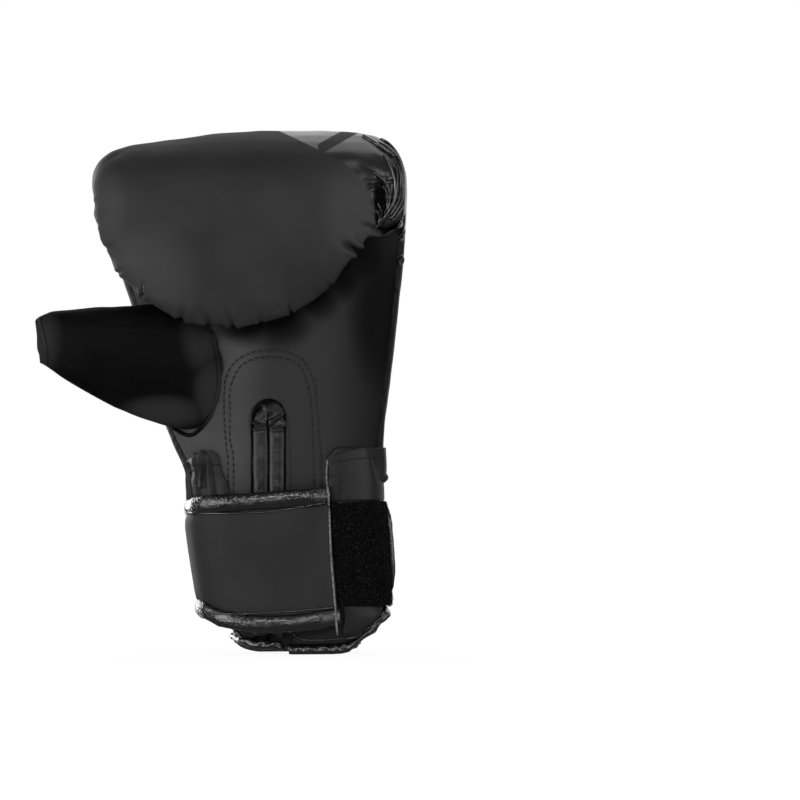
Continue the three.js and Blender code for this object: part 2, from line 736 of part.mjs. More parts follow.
const glove = new THREE.Group();
glove.add(
  piece("hand_pad", handPad, leatherLook),
  piece("finger_roll", fingerRoll, leatherLook),
  piece("palm_panel", palmPanel, leatherLook),
  piece("thumb", thumbSleeve, darkLook),
  piece("cuff", cuff, darkLook),
  piece("wrist_band", wristBand, leatherLook),
  piece("loop_patch", loopPatch, loopLook),
  piece("strap", toSolid(strapPanel()).subtract(strapEdging(seamGap)), leatherLook),
  piece("strap_binding", strapEdging(0), glossLook),
  piece("slit_binding", slitEdge(0), leatherLook),
  piece("hem_binding", hemEdge(0), glossLook),
);

// The origin goes on the floor under the middle of the glove's box.
const bounds = new THREE.Box3().setFromObject(glove, true);
const middle = bounds.getCenter(new THREE.Vector3());
glove.position.set(-middle.x, -middle.y, -bounds.min.z);

export default glove;
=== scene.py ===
import math

import bmesh
import bpy
import numpy as np
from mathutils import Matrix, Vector, noise
from mathutils.bvhtree import BVHTree


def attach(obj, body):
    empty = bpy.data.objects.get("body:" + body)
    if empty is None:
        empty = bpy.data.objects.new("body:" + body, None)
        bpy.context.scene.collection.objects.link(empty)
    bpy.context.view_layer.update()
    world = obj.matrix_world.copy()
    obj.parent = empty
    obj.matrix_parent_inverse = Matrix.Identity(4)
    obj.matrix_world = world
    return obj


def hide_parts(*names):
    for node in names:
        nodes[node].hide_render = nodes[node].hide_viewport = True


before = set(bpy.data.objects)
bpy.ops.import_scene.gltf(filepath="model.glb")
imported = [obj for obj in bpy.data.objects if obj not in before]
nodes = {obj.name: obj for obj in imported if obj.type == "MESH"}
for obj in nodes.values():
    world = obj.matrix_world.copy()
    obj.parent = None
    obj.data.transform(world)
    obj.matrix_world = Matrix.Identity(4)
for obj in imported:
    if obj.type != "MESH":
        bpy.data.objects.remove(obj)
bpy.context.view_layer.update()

world = bpy.context.scene
print("glove: frame loaded,", len(nodes), "solids")

# The photograph's places on the palm side (left glove) and the back (right glove), in metres per pixel.
palmSide = {"scale": 0.0005, "column": 221.0, "row": 653.0}
backSide = {"scale": 0.0005, "column": 576.0, "row": 661.5}
pixel = palmSide["scale"]


def placed(points, side=palmSide):
    points = np.asarray(points, dtype=float)
    x = (points[:, 0] - side["column"]) * side["scale"]
    z = (side["row"] - points[:, 1]) * side["scale"]
    return np.stack([x, z], axis=1)


# making and shaping meshes

def newPiece(name, mesh):
    piece = bpy.data.objects.new(name, mesh)
    world.collection.objects.link(piece)
    return piece


def meshOf(name, shape):
    mesh = bpy.data.meshes.new(name)
    shape.to_mesh(mesh)
    shape.free()
    return mesh


def skinned(shape, rings, closed=False):
    # faces between neighbouring rows of points
    for low, high in zip(rings[:-1], rings[1:]):
        for k in range(len(low) if closed else len(low) - 1):
            n = (k + 1) % len(low)
            shape.faces.new([low[k], low[n], high[n], high[k]])


def finished(piece):
    # the mesh with its modifiers in it, and none left on the piece
    depsgraph = bpy.context.evaluated_depsgraph_get()
    mesh = bpy.data.meshes.new_from_object(piece.evaluated_get(depsgraph))
    piece.modifiers.clear()
    if isinstance(piece.data, bpy.types.Mesh):
        old = piece.data
        piece.data = mesh
        bpy.data.meshes.remove(old)
    return piece


def softCopy(name, parts, voxel, rounds, finer=0):
    # CAD solids merged and meshed evenly, ready to be pushed into folds
    shape = bmesh.new()
    for part in parts:
        shape.from_mesh(nodes[part].data)
    bmesh.ops.remove_doubles(shape, verts=shape.verts, dist=1e-6)
    piece = newPiece(name, meshOf(name, shape))
    even = piece.modifiers.new("even", "REMESH")
    even.mode = "VOXEL"
    even.voxel_size = voxel
    relax = piece.modifiers.new("relax", "SMOOTH")
    relax.factor = 0.5
    relax.iterations = rounds
    if finer:
        split = piece.modifiers.new("finer", "SUBSURF")
        split.levels = split.render_levels = finer
    finished(piece)
    piece.data.shade_smooth()
    return piece


def pointsOf(mesh, what="co"):
    flat = np.empty(3 * len(mesh.vertices))
    mesh.vertices.foreach_get(what, flat)
    return flat.reshape(-1, 3)


def normalsOf(mesh):
    return pointsOf(mesh, "normal")


def columnsOf(mesh):
    # the points, and views on their x, y and z
    points = pointsOf(mesh)
    return (points, *points.T)


def setPoints(mesh, points):
    mesh.vertices.foreach_set("co", points.ravel())
    mesh.update()


def push(piece, amount):
    # moves each point along its normal by so much
    mesh = piece.data
    setPoints(mesh, pointsOf(mesh) + normalsOf(mesh) * amount[:, None])


def evened(mesh, weight, rounds, axis=1):
    # levels the points in one direction, as far as weight says
    count = len(mesh.vertices)
    ends = np.empty(2 * len(mesh.edges), dtype=int)
    mesh.edges.foreach_get("vertices", ends)
    first, second = ends.reshape(-1, 2).T
    points = pointsOf(mesh)
    value = points[:, axis].copy()
    near = np.bincount(first, minlength=count) + np.bincount(second, minlength=count)
    for turn in range(rounds):
        total = np.bincount(first, value[second], count) + np.bincount(second, value[first], count)
        value += weight * (total / near - value)
    points[:, axis] = value
    setPoints(mesh, points)


def step(value, low, high):
    t = np.clip((value - low) / (high - low), 0, 1)
    return t * t * (3 - 2 * t)


def fall(value, low, high):
    return 1 - step(value, low, high)


def cloud(points, size, seed=0.0):
    # smooth noise from -1 to 1 with lumps of about this size
    scaled = points / size + seed
    return np.array([noise.noise(p) for p in scaled.tolist()])


def curved(path, count=40):
    # a smooth path through a few points
    path = np.asarray(path, dtype=float)
    if len(path) < 3:
        return np.stack([np.linspace(path[0, k], path[-1, k], count) for k in range(path.shape[1])], axis=1)
    padded = np.vstack([2 * path[0] - path[1], path, 2 * path[-1] - path[-2]])
    places = np.linspace(0, len(path) - 1 - 1e-9, count)
    rows = []
    for place in places:
        i = int(place)
        t = place - i
        a, b, c, d = padded[i:i + 4]
        rows.append(0.5 * (2 * b + (c - a) * t + (2 * a - 5 * b + 4 * c - d) * t ** 2
                           + (3 * b - a - 3 * c + d) * t ** 3))
    return np.array(rows)


def toPath(flat, path):
    # how far each point is from a path, and how far along it (0 to 1)
    best = np.full(len(flat), 1e9)
    along = np.zeros(len(flat))
    sizes = np.linalg.norm(np.diff(path, axis=0), axis=1)
    total = sizes.sum()
    passed = 0.0
    for a, b, size in zip(path[:-1], path[1:], sizes):
        way = b - a
        t = np.clip(((flat - a) @ way) / size ** 2, 0, 1)
        gap = flat - (a + t[:, None] * way)
        distance = np.hypot(gap[:, 0], gap[:, 1])
        nearer = distance < best
        best[nearer] = distance[nearer]
        along[nearer] = (passed + t[nearer] * size) / total
        passed += size
    return best, along


def groove(flat, path, width, depth):
    return -depth * np.exp(-(toPath(flat, path)[0] / width) ** 2)


def bulge(flat, spot, power=1.0):
    # 1 at a place of the palm side, fading to 0 at its reach in pixels
    apart = (flat - placed([spot["at"]])[0]) / pixel / np.array(spot["reach"])
    return np.exp(-(apart ** 2).sum(axis=1) ** power)


def surfaceOf(*pieces):
    points, faces = [], []
    for piece in pieces:
        first = len(points)
        points.extend([v.co.copy() for v in piece.data.vertices])
        faces.extend([[first + k for k in face.vertices] for face in piece.data.polygons])
    return BVHTree.FromPolygons(points, faces)


def frontOf(surface, x, z):
    # the place that the camera sees at x and z, and its normal
    away = 0.3
    return surface.ray_cast(Vector((x, -away, z)), Vector((0, 1, 0)))[:2]


def seated(surface, path, lift=0.0):
    # a path of x and z laid on the palm side of a surface
    hits = [frontOf(surface, x, z) for x, z in path]
    return [spot + normal * lift for spot, normal in hits if spot is not None]


def calmed(rows, turns):
    # the same path with its depth evened out
    rows = np.array(rows)
    for turn in range(turns):
        rows[1:-1, 1] += 0.5 * ((rows[:-2, 1] + rows[2:, 1]) / 2 - rows[1:-1, 1])
    return rows


def angleAt(surface, x, z, axis):
    # the angle round the cuff of the place that the camera sees at x and z
    spot = frontOf(surface, x, z)[0]
    if spot is None:
        return 0.0 if x > axis else math.pi
    return math.atan2(spot.y, spot.x - axis)


def walled(piece, thick):
    # gives a sheet its thickness, outwards, and softens its edges
    wall = piece.modifiers.new("wall", "SOLIDIFY")
    wall.thickness = thick
    wall.offset = 1.0
    soft = piece.modifiers.new("soft", "SUBSURF")
    soft.levels = soft.render_levels = 1
    finished(piece)
    piece.data.shade_smooth()
    return piece


def relaxed(shape, turns, across=True):
    # smooths a sheet in its depth, and sideways if wanted
    for turn in range(turns):
        bmesh.ops.smooth_vert(shape, verts=shape.verts, factor=0.5, use_axis_x=across,
                              use_axis_y=True, use_axis_z=False)


def wrapped(name, surface, corner, columns, rows, thick, axis):
    # a leather patch laid round the glove, with corner giving its angle and height
    shape = bmesh.new()
    grid = []
    outside, radius = 0.2, 0.05
    for i in range(rows + 1):
        line = []
        for j in range(columns + 1):
            angle, z = corner(j / columns, i / rows)
            out = Vector((math.cos(angle), math.sin(angle), 0))
            core = Vector((axis, 0, z))
            spot = surface.ray_cast(core + out * outside, -out)[0]
            radius = (spot - core).length if spot is not None else radius
            line.append(shape.verts.new(core + out * radius))
        grid.append(line)
    skinned(shape, grid)
    relaxed(shape, 8)
    return walled(newPiece(name, meshOf(name, shape)), thick)


def tube(name, path, radius, sides=8, flat=1.0):
    # a round bead along a path of points, closed at both ends
    path = [Vector(p) for p in path]
    shape = bmesh.new()
    rings = []
    up = Vector((0, 1, 0))
    for i, spot in enumerate(path):
        way = (path[min(i + 1, len(path) - 1)] - path[max(i - 1, 0)]).normalized()
        across = way.cross(up).normalized()
        out = across.cross(way).normalized()
        grow = radius * (0.35 if i in (0, len(path) - 1) else 1)  # its ends are drawn in
        rings.append([shape.verts.new(spot + across * math.cos(a) * grow + out * math.sin(a) * grow * flat)
                      for a in (2 * math.pi * k / sides for k in range(sides))])
    skinned(shape, rings, True)
    shape.faces.new(rings[0][::-1])
    shape.faces.new(rings[-1])
    bmesh.ops.recalc_face_normals(shape, faces=shape.faces)
    piece = newPiece(name, meshOf(name, shape))
    piece.data.shade_smooth()
    return piece


# wires between nodes, for materials and for geometry

class Wire:
    def __init__(self, tree, socket):
        self.tree, self.socket = tree, socket

    def maths(self, operation, other, turned=False):
        values = {0: other, 1: self} if turned else {0: self, 1: other}
        return self.tree.node("ShaderNodeMath", {"operation": operation}, values)

    def __add__(self, other):
        return self.maths("ADD", other)

    __radd__ = __add__

    def __sub__(self, other):
        return self.maths("SUBTRACT", other)

    def __rsub__(self, other):
        return self.maths("SUBTRACT", other, True)

    def __mul__(self, other):
        return self.maths("MULTIPLY", other)

    __rmul__ = __mul__

    def __truediv__(self, other):
        return self.maths("DIVIDE", other)

    def most(self, other):
        return self.maths("MAXIMUM", other)

    def rise(self, low, high):
        return self.tree.node("ShaderNodeMapRange", {"interpolation_type": "SMOOTHSTEP"},
                              {"Value": self, "From Min": low, "From Max": high})

    def within(self, low, high, blur=0.0002):
        return self.rise(low - blur, low + blur) * (1.0 - self.rise(high - blur, high + blur))


class Wiring:
    def __init__(self, tree):
        self.tree = tree

    def node(self, kind, settings=None, inputs=None, output=0):
        made = self.tree.nodes.new(kind)
        for key, value in (settings or {}).items():
            setattr(made, key, value)
        for key, value in (inputs or {}).items():
            socket = made.inputs[key]
            if isinstance(value, Wire):
                self.tree.links.new(value.socket, socket)
            elif socket.type == "RGBA" and len(value) == 3:
                socket.default_value = (*value, 1)
            else:
                socket.default_value = value
        return Wire(self, made.outputs[output])


class Finish(Wiring):
    def __init__(self, name, **fixed):
        self.material = bpy.data.materials.new(name)
        self.material.use_nodes = True
        super().__init__(self.material.node_tree)
        self.shader = self.tree.nodes["Principled BSDF"]
        for label, value in fixed.items():
            self.shader.inputs[label].default_value = value
        self.place = self.node("ShaderNodeTexCoord", output="Object")
        parts = self.tree.nodes.new("ShaderNodeSeparateXYZ")
        self.tree.links.new(self.place.socket, parts.inputs[0])
        self.x, self.y, self.z = (Wire(self, parts.outputs[k]) for k in range(3))

    def lumps(self, size, detail=3.0, rough=0.55, stretch=None):
        where = self.place
        if stretch:
            where = self.node("ShaderNodeMapping", None, {"Vector": self.place, "Scale": stretch})
        return self.node("ShaderNodeTexNoise", None,
                         {"Vector": where, "Scale": 1 / size, "Detail": detail, "Roughness": rough})

    def pebbles(self, size):
        return self.node("ShaderNodeTexVoronoi", {"feature": "SMOOTH_F1"},
                         {"Vector": self.place, "Scale": 1 / size, "Smoothness": 0.35})

    def mixed(self, share, first, second):
        return self.node("ShaderNodeMix", {"data_type": "RGBA"}, {0: share, 6: first, 7: second}, output=2)

    def patches(self, spots):
        # soft oval areas, each by its place and its reach across and up in pixels of the palm side
        total = None
        for at, reach in spots:
            atX, atZ = placed([at])[0]
            across = (self.x - atX) / (reach[0] * pixel)
            up = (self.z - atZ) / (reach[1] * pixel)
            area = 1.0 - (across * across + up * up).rise(0.0, 1.0)
            total = total.most(area) if total else area
        return total

    def bump(self, height, distance, strength=1.0, under=None):
        values = {"Height": height, "Distance": distance, "Strength": strength}
        if under:
            values["Normal"] = under
        return self.node("ShaderNodeBump", None, values)

    def feed(self, **links):
        for label, wire in links.items():
            self.tree.links.new(wire.socket, self.shader.inputs[label.replace("_", " ")])
        return self.material


# the geometry node trees

def openTree(name, labels, material):
    # a tree with its named inputs: the geometry, some sizes and a material
    tree = bpy.data.node_groups.new(name, "GeometryNodeTree")
    kinds = [("Geometry", "Geometry")] + [(label, "Float") for label in labels] + [(material, "Material")]
    for label, kind in kinds:
        tree.interface.new_socket(label, in_out="INPUT", socket_type="NodeSocket" + kind)
    tree.interface.new_socket("Geometry", in_out="OUTPUT", socket_type="NodeSocketGeometry")
    w = Wiring(tree)
    given = tree.nodes.new("NodeGroupInput")
    return w, [Wire(w, given.outputs[k]) for k in range(len(kinds))]


def closedTree(w, row, material):
    # the instances made real and given their material
    real = w.node("GeometryNodeRealizeInstances", None, {"Geometry": row})
    dyed = w.node("GeometryNodeSetMaterial", None, {"Geometry": real, "Material": material})
    out = w.tree.nodes.new("NodeGroupOutput")
    w.tree.links.new(dyed.socket, out.inputs[0])
    return w.tree


def stitchTree():
    # thread stitches spaced along an edge path
    w, (path, pitch, length, width, thread) = openTree("stitchRow", ["Pitch", "Length", "Width"], "Thread")
    curve = w.node("GeometryNodeMeshToCurve", None, {"Mesh": path})
    even = w.node("GeometryNodeResampleCurve", {"mode": "LENGTH"}, {"Curve": curve, "Length": pitch})
    way = w.node("GeometryNodeInputTangent")
    turn = w.node("FunctionNodeAlignRotationToVector", {"axis": "Z"}, {"Vector": way})
    bead = w.node("GeometryNodeMeshUVSphere", None, {"Segments": 6, "Rings": 5, "Radius": 0.5})
    size = w.node("ShaderNodeCombineXYZ", None, {"X": width, "Y": width, "Z": length})
    row = w.node("GeometryNodeInstanceOnPoints", None,
                 {"Points": even, "Instance": bead, "Rotation": turn, "Scale": size})
    return closedTree(w, row, thread)


def pileTree():
    # short fibres standing on a patch
    w, (patch, density, height, width, fibre) = openTree("loopPile", ["Density", "Height", "Width"], "Fibre")
    spread = w.node("GeometryNodeDistributePointsOnFaces", None,
                    {"Mesh": patch, "Density": density, "Seed": 7})
    upright = Wire(w, spread.socket.node.outputs["Normal"])
    lean = w.node("FunctionNodeRandomValue", {"data_type": "FLOAT_VECTOR"},
                  {0: (-0.9, -0.9, -0.9), 1: (0.9, 0.9, 0.9), "Seed": 3})
    way = w.node("ShaderNodeVectorMath", {"operation": "ADD"}, {0: upright, 1: lean})
    turn = w.node("FunctionNodeAlignRotationToVector", {"axis": "Z"}, {"Vector": way})
    blade = w.node("GeometryNodeMeshCone", {"fill_type": "NONE"},
                   {"Vertices": 3, "Radius Top": 0.3, "Radius Bottom": 0.5, "Depth": 1.0})
    tall = w.node("FunctionNodeRandomValue", {"data_type": "FLOAT"}, {2: 0.5, 3: 1.2, "Seed": 5}, output=1)
    size = w.node("ShaderNodeCombineXYZ", None, {"X": width, "Y": width, "Z": height * tall})
    row = w.node("GeometryNodeInstanceOnPoints", None,
                 {"Points": spread, "Instance": blade, "Rotation": turn, "Scale": size})
    return closedTree(w, row, fibre)


def grown(name, host, tree, values):
    # runs a node tree on a host mesh and keeps the result as a plain mesh
    maker = newPiece(name, host)
    modifier = maker.modifiers.new(name, "NODES")
    modifier.node_group = tree
    for item in tree.interface.items_tree:
        if item.in_out == "INPUT" and item.name in values:
            modifier[item.identifier] = values[item.name]
    return finished(maker)


def wireMesh(name, paths):
    mesh = bpy.data.meshes.new(name)
    points, edges = [], []
    for path in paths:
        first = len(points)
        points.extend([tuple(p) for p in path])
        edges.extend([(first + k, first + k + 1) for k in range(len(path) - 1)])
    mesh.from_pydata(points, edges, [])
    return mesh


# finishes

def grey(value, blue=0.0005):
    # near black, with so much more blue
    return (value, value, value + blue)


def leatherFinish(name, look):
    # coated leather: a faint grain, soft mottling and creases of its own, and in some looks painted light and
    # painted shade
    finish = Finish(name, **{"Specular IOR Level": look.get("specular", 0.5),
                             "Coat Weight": look.get("coat", 0.0), "Coat Roughness": 0.16})
    mottle = finish.lumps(0.03, 4.0)
    fine = finish.lumps(0.0011, 2.0, 0.6)
    grain = finish.pebbles(look["grain"])
    dark, light = look["dark"], look["light"]
    colour = finish.mixed(mottle.rise(0.35, 0.68), dark, light)
    # painted light: paler patches where the lamps light the leather more
    if "paintedLitPatches" in look:
        colour = finish.mixed(finish.patches(look["paintedLitPatches"]), colour, look["paintedLitTone"])
    # painted shade: the palm darker in steps towards its right side, where less light falls
    for shade in look.get("paintedShades", []):
        colour = finish.mixed(finish.x.rise(*shade["between"]), colour, shade["tone"])
    if "paintedShadow" in look:
        # painted shadow: near black under the roll and down the palm's right edge
        colour = finish.mixed(finish.patches(look["paintedShadow"]), colour, look["paintedShadowTone"])
    rough = look["rough"] + (mottle - 0.5) * look["roughChange"] + (fine - 0.5) * 0.06
    first = finish.bump(grain, look["grainDepth"], 0.6)
    second = finish.bump(finish.lumps(0.009, 3.0), look["ripple"], 1.0, first)
    return finish.feed(Base_Color=colour, Roughness=rough, Normal=second)


looks = {
    "thumbLeather": {"dark": grey(0.0018, 0.0002), "light": grey(0.0034, 0.0002), "rough": 0.56,
                     "specular": 0.08, "roughChange": 0.12, "grain": 0.0011, "grainDepth": 0.00005,
                     # painted light on the thumb: a paler tone, laid in soft patches at its tip, its lower
                     # edge and along its seam
                     "ripple": 0.0002, "paintedLitTone": grey(0.021, 0.0004),
                     "paintedLitPatches": [((38, 338), (30, 52)), ((203, 330), (25, 50)), ((214, 394), (23, 46)),
                               ((165, 413), (52, 21))]},
    "palmLeather": {"dark": grey(0.054), "light": grey(0.066), "rough": 0.6, "specular": 0.12,
                    "roughChange": 0.12, "grain": 0.0011, "grainDepth": 0.00006, "ripple": 0.00025,
                    # painted shade: darker towards the palm's right side
                    "paintedShades": [{"between": (0.007, 0.027), "tone": grey(0.031)},
                               {"between": (0.0485, 0.082), "tone": grey(0.009, 0.0002)}],
                    # painted shadow under the roll and down the palm's right edge
                    "paintedShadow": [((248, 322), (46, 29)), ((280, 318), (42, 38)), ((315, 295), (34, 34)),
                                ((343, 276), (30, 34)), ((367, 262), (28, 34)), ((386, 318), (45, 92))],
                    "paintedShadowTone": grey(0.0012, 0.0001)},
    "bandLeather": {"dark": grey(0.009), "light": grey(0.014), "rough": 0.46, "specular": 0.35,
                    "roughChange": 0.14, "grain": 0.0012, "grainDepth": 0.00008, "ripple": 0.0003},
    "strapLeather": {"dark": grey(0.018), "light": grey(0.023), "rough": 0.6, "specular": 0.28,
                     "roughChange": 0.1, "grain": 0.001, "grainDepth": 0.00004, "ripple": 0.0002},
    "slitLeather": {"dark": grey(0.006), "light": grey(0.012), "rough": 0.38,
                    "roughChange": 0.2, "grain": 0.0011, "grainDepth": 0.00008, "ripple": 0.0005},
    "glossBinding": {"dark": grey(0.004, 0), "light": grey(0.007, 0), "rough": 0.24,
                     "specular": 1.0, "coat": 0.6, "roughChange": 0.1,
                     "grain": 0.0011, "grainDepth": 0.0004, "ripple": 0.0004},
    "glossPleat": {"dark": grey(0.005, 0), "light": grey(0.008, 0), "rough": 0.24,
                   "specular": 1.0, "coat": 0.8, "roughChange": 0.08,
                   "grain": 0.0012, "grainDepth": 0.00003, "ripple": 0.0002},
    "lining": {"dark": grey(0.004, 0), "light": grey(0.007, 0), "rough": 0.85,
               "roughChange": 0.05, "grain": 0.0007, "grainDepth": 0.0001, "ripple": 0.0002},
}
finishes = {name: leatherFinish(name, look) for name, look in looks.items()}


def printedFinish(look):
    # the padding's leather: matte, with gloss panels and plain stripes printed on it, and painted light and
    # painted shade on its palm side
    finish = Finish("printedLeather", **{"Coat Roughness": look["coatRough"],
                                         "Specular IOR Level": look["specular"]})
    x, y, z = finish.x, finish.y, finish.z

    def beyond(first, second, side=backSide):
        # signed distance from the straight line through two places of a photograph, positive to its right
        (ax, az), (bx, bz) = placed([first, second], side)
        size = math.hypot(bx - ax, bz - az)
        return (x - ax) * ((az - bz) / size) + (z - az) * ((bx - ax) / size)

    def upTo(row, side=backSide):
        return (side["row"] - row) * side["scale"]

    # palm side: the gloss leather that comes over the top and round the end of the roll
    edge = look["glossEdge"]
    gloss = beyond(*edge[:2], palmSide)
    for first, second in zip(edge[1:-1], edge[2:]):
        gloss = gloss.most(beyond(first, second, palmSide))
    low = (z - upTo(look["glossFoot"], palmSide)).rise(0.0, 0.001)
    stripe = beyond(*look["stripe"], palmSide).within(-look["stripeHalf"], look["stripeHalf"])
    stripe = stripe * (x - placed([look["stripeStart"]])[0][0]).rise(0.0, 0.0004)
    palmGloss = gloss.rise(-0.00015, 0.00015) * low * (1.0 - stripe)

    # back: two diagonal gloss bars, a plain gloss field and a thin matte frame
    slope = beyond(*look["slope"])
    fieldLeft, (frameLeft, frameRight) = look["fieldLeft"], look["frame"]
    bar = slope.within(*look["bar"]) * z.within(upTo(418), upTo(231))
    field = slope.rise(fieldLeft, fieldLeft + 0.0004) * (1.0 - z.rise(upTo(207), upTo(206) + 0.0002))
    frameLine = slope.within(frameLeft, frameRight) * z.within(upTo(439), upTo(214))
    crossLine = z.within(upTo(219), upTo(210.5)) * slope.rise(frameLeft, frameLeft + 0.0004)
    top = beyond(*look["topEdge"]).most(x - placed([look["topEdge"][1]], backSide)[0][0])
    top = top.rise(-0.0001, 0.0002) * z.rise(upTo(207), upTo(206) + 0.0002)
    sideLine = beyond(*look["sideLine"]).within(-0.0025, 0.0025) * z.rise(upTo(214), upTo(213))
    backGloss = (field * (1.0 - frameLine)).most(top).most(bar) * (1.0 - crossLine) * (1.0 - sideLine)

    onBack = y.rise(look["split"] - 0.0001, look["split"] + 0.0001)
    shine = palmGloss * (1.0 - onBack) + backGloss * onBack
    mottle = finish.lumps(0.04, 4.0)
    matte = finish.mixed(mottle.rise(0.35, 0.68), look["matteDark"], look["matteLight"])
    # painted light: paler patches on the roll, where the lamps light it more
    matte = finish.mixed(finish.patches(look["paintedLightSpots"]) * (1.0 - onBack), matte, look["paintedLightTone"])
    # painted shade: a near-black band on the pad's side along the little finger's side, below the roll
    turned = x.rise(0.058, 0.066) * y.rise(-0.014, -0.01) * (1.0 - onBack)
    turned = turned * (1.0 - z.rise(upTo(240, palmSide), upTo(232, palmSide)))
    matte = finish.mixed(turned, matte, look["side"])
    colour = finish.mixed(shine, matte, look["gloss"])
    fine = finish.lumps(0.0011, 2.0, 0.6)
    rough = look["matteRough"] + (mottle - 0.5) * 0.1 + (fine - 0.5) * 0.05
    rough = rough * (1.0 - shine) + (look["glossRough"] + (mottle - 0.5) * 0.06) * shine
    first = finish.bump(finish.pebbles(0.001), 0.00004, 0.6)
    ripple = finish.lumps(0.016, 3.0) * (0.35 + shine * 0.65)
    second = finish.bump(ripple, 0.0004, 1.0, first)
    return finish.feed(Base_Color=colour, Roughness=rough, Normal=second, Coat_Weight=shine * look["coat"])


printLook = {
    "split": 0.004, "matteDark": grey(0.019), "matteLight": grey(0.027), "gloss": grey(0.01, 0.0002),
    # the side tone is painted shade, for the pad's right side below the roll
    "side": grey(0.0035, 0.0001), "matteRough": 0.6, "glossRough": 0.39, "coat": 1.0, "coatRough": 0.25,
    # painted light on the roll: a paler tone, laid in soft patches at its lower left and its two ends
    "specular": 0.3, "paintedLightTone": grey(0.04),
    "paintedLightSpots": [((140, 280), (75, 62)), ((357, 212), (44, 62)), ((104, 215), (30, 60))],
    # where the prints lie, in pixels of the photograph, and how wide they are, in metres
    "glossEdge": [(287, 135.5), (346.5, 166), (369.5, 189), (375, 206), (375.5, 222)], "glossFoot": 232,
    "stripe": [(352, 131.5), (321, 151)], "stripeHalf": 0.0026, "stripeStart": (318, 151),
    "slope": [(626, 233), (532, 417)], "bar": (0.0, 0.0094), "fieldLeft": 0.0134, "frame": (0.0242, 0.0288),
    "topEdge": [(661, 140.5), (677, 166)], "sideLine": [(716, 146), (756, 211)],
}
finishes["printedLeather"] = printedFinish(printLook)


def pileFinish():
    finish = Finish("pileFibre", **{"Specular IOR Level": 0.12})
    flecks = finish.lumps(0.0006, 2.0)
    colour = finish.mixed(flecks.rise(0.56, 0.74), grey(0.0008, 0), grey(0.05, 0))
    return finish.feed(Base_Color=colour, Roughness=0.75 + flecks * 0.2)


def threadFinish():
    finish = Finish("blackThread")
    twist = finish.lumps(0.0004, 2.0)
    colour = finish.mixed(twist, grey(0.002, 0), grey(0.007, 0))
    return finish.feed(Base_Color=colour, Roughness=0.45 + twist * 0.2)


def rawEdgeFinish():
    finish = Finish("rawEdge")
    fibre = finish.lumps(0.0007, 2.0)
    colour = finish.mixed(fibre.rise(0.3, 0.7), grey(0.05, 0), grey(0.3, 0))
    return finish.feed(Base_Color=colour, Roughness=0.7 + fibre * 0.1)


finishes["pileFibre"] = pileFinish()
finishes["blackThread"] = threadFinish()
finishes["rawEdge"] = rawEdgeFinish()
print("glove: finishes made")


def dressed(piece, finish, parts=()):
    piece.data.materials.clear()
    piece.data.materials.append(finishes[finish])
    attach(piece, "root")
    if parts:
        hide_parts(*parts)
    return piece


# the hand padding with its finger roll

padding = {
    "voxel": 0.0018, "rounds": 10, "fill": 0.85,
    # gathers along the roll's sewn edge: place, way into the panel, length, half width and depth in pixels
    "gathers": [
        ((145, 296), (0.1, -1.0), 20, 2.4, 4.6),
        ((183, 320), (0.25, -1.0), 26, 4.6, 3.0),
        ((211, 323), (-0.5, -1.0), 22, 4.5, 3.0),
        ((234, 325), (-0.35, -1.0), 28, 3.8, 3.4),
        ((262, 319), (-0.1, -1.0), 14, 4.0, 1.6),
        ((291, 311), (-0.3, -1.0), 12, 2.6, 3.2),
        ((331, 287), (-0.6, -0.8), 12, 3.6, 1.8),
        ((355, 250), (-1.0, -0.6), 20, 4.2, 9.0),
        ((372, 228), (-1.0, -0.15), 14, 3.4, 6.0),
        ((376, 204), (-1.0, 0.1), 10, 3.0, 3.5),
        ((372, 188), (-1.0, 0.25), 9, 2.4, 4.5),
        ((119, 275), (0.9, -0.6), 12, 3.0, 1.2),
        ((106, 250), (1.0, -0.3), 14, 3.2, 0.8),
        ((98, 226), (1.0, -0.1), 12, 2.8, 0.7),
        ((94, 204), (1.0, 0.05), 12, 2.6, 0.6),
    ],
    # places where the foam stands out more, and where the leather is drawn back, in pixels
    "swells": [{"at": (92, 204), "reach": 20, "deep": 5.0}, {"at": (104, 262), "reach": 20, "deep": -7.0},
               {"at": (122, 292), "reach": 16, "deep": -6.0}, {"at": (110, 150), "reach": 16, "deep": -3.0},
               {"at": (118, 303), "reach": 14, "deep": -7.0}],
    "crown": {"at": (165, 134), "reach": (46, 20), "deep": -4.2},
    "fuller": 0.0006, "sideFuller": 0.0012, "levelled": 500, "wrinkle": 0.00045, "pucker": 0.0007,
    "dents": [{"at": (380, 205), "reach": (4.0, 19), "deep": 0.012},
              {"at": (392, 231), "reach": (15, 7), "deep": 0.012}],
    "end": {
        "turn": -0.02, "between": 2, "width": 0.0013, "deep": 0.0006,
        "folds": [[(355, 167), (374, 173), (387, 181), (390.5, 195), (387, 210), (380, 223)],
                  [(360, 139), (383, 152), (393, 165), (398, 181), (400, 198), (396, 214), (390, 226)],
                  [(372, 125), (394, 136), (407, 155), (416, 177), (420, 198), (417, 222), (404, 246)],
                  [(390, 112), (416, 124), (436, 150), (450, 177), (454, 204), (444, 232), (412, 258)]],
    },
}


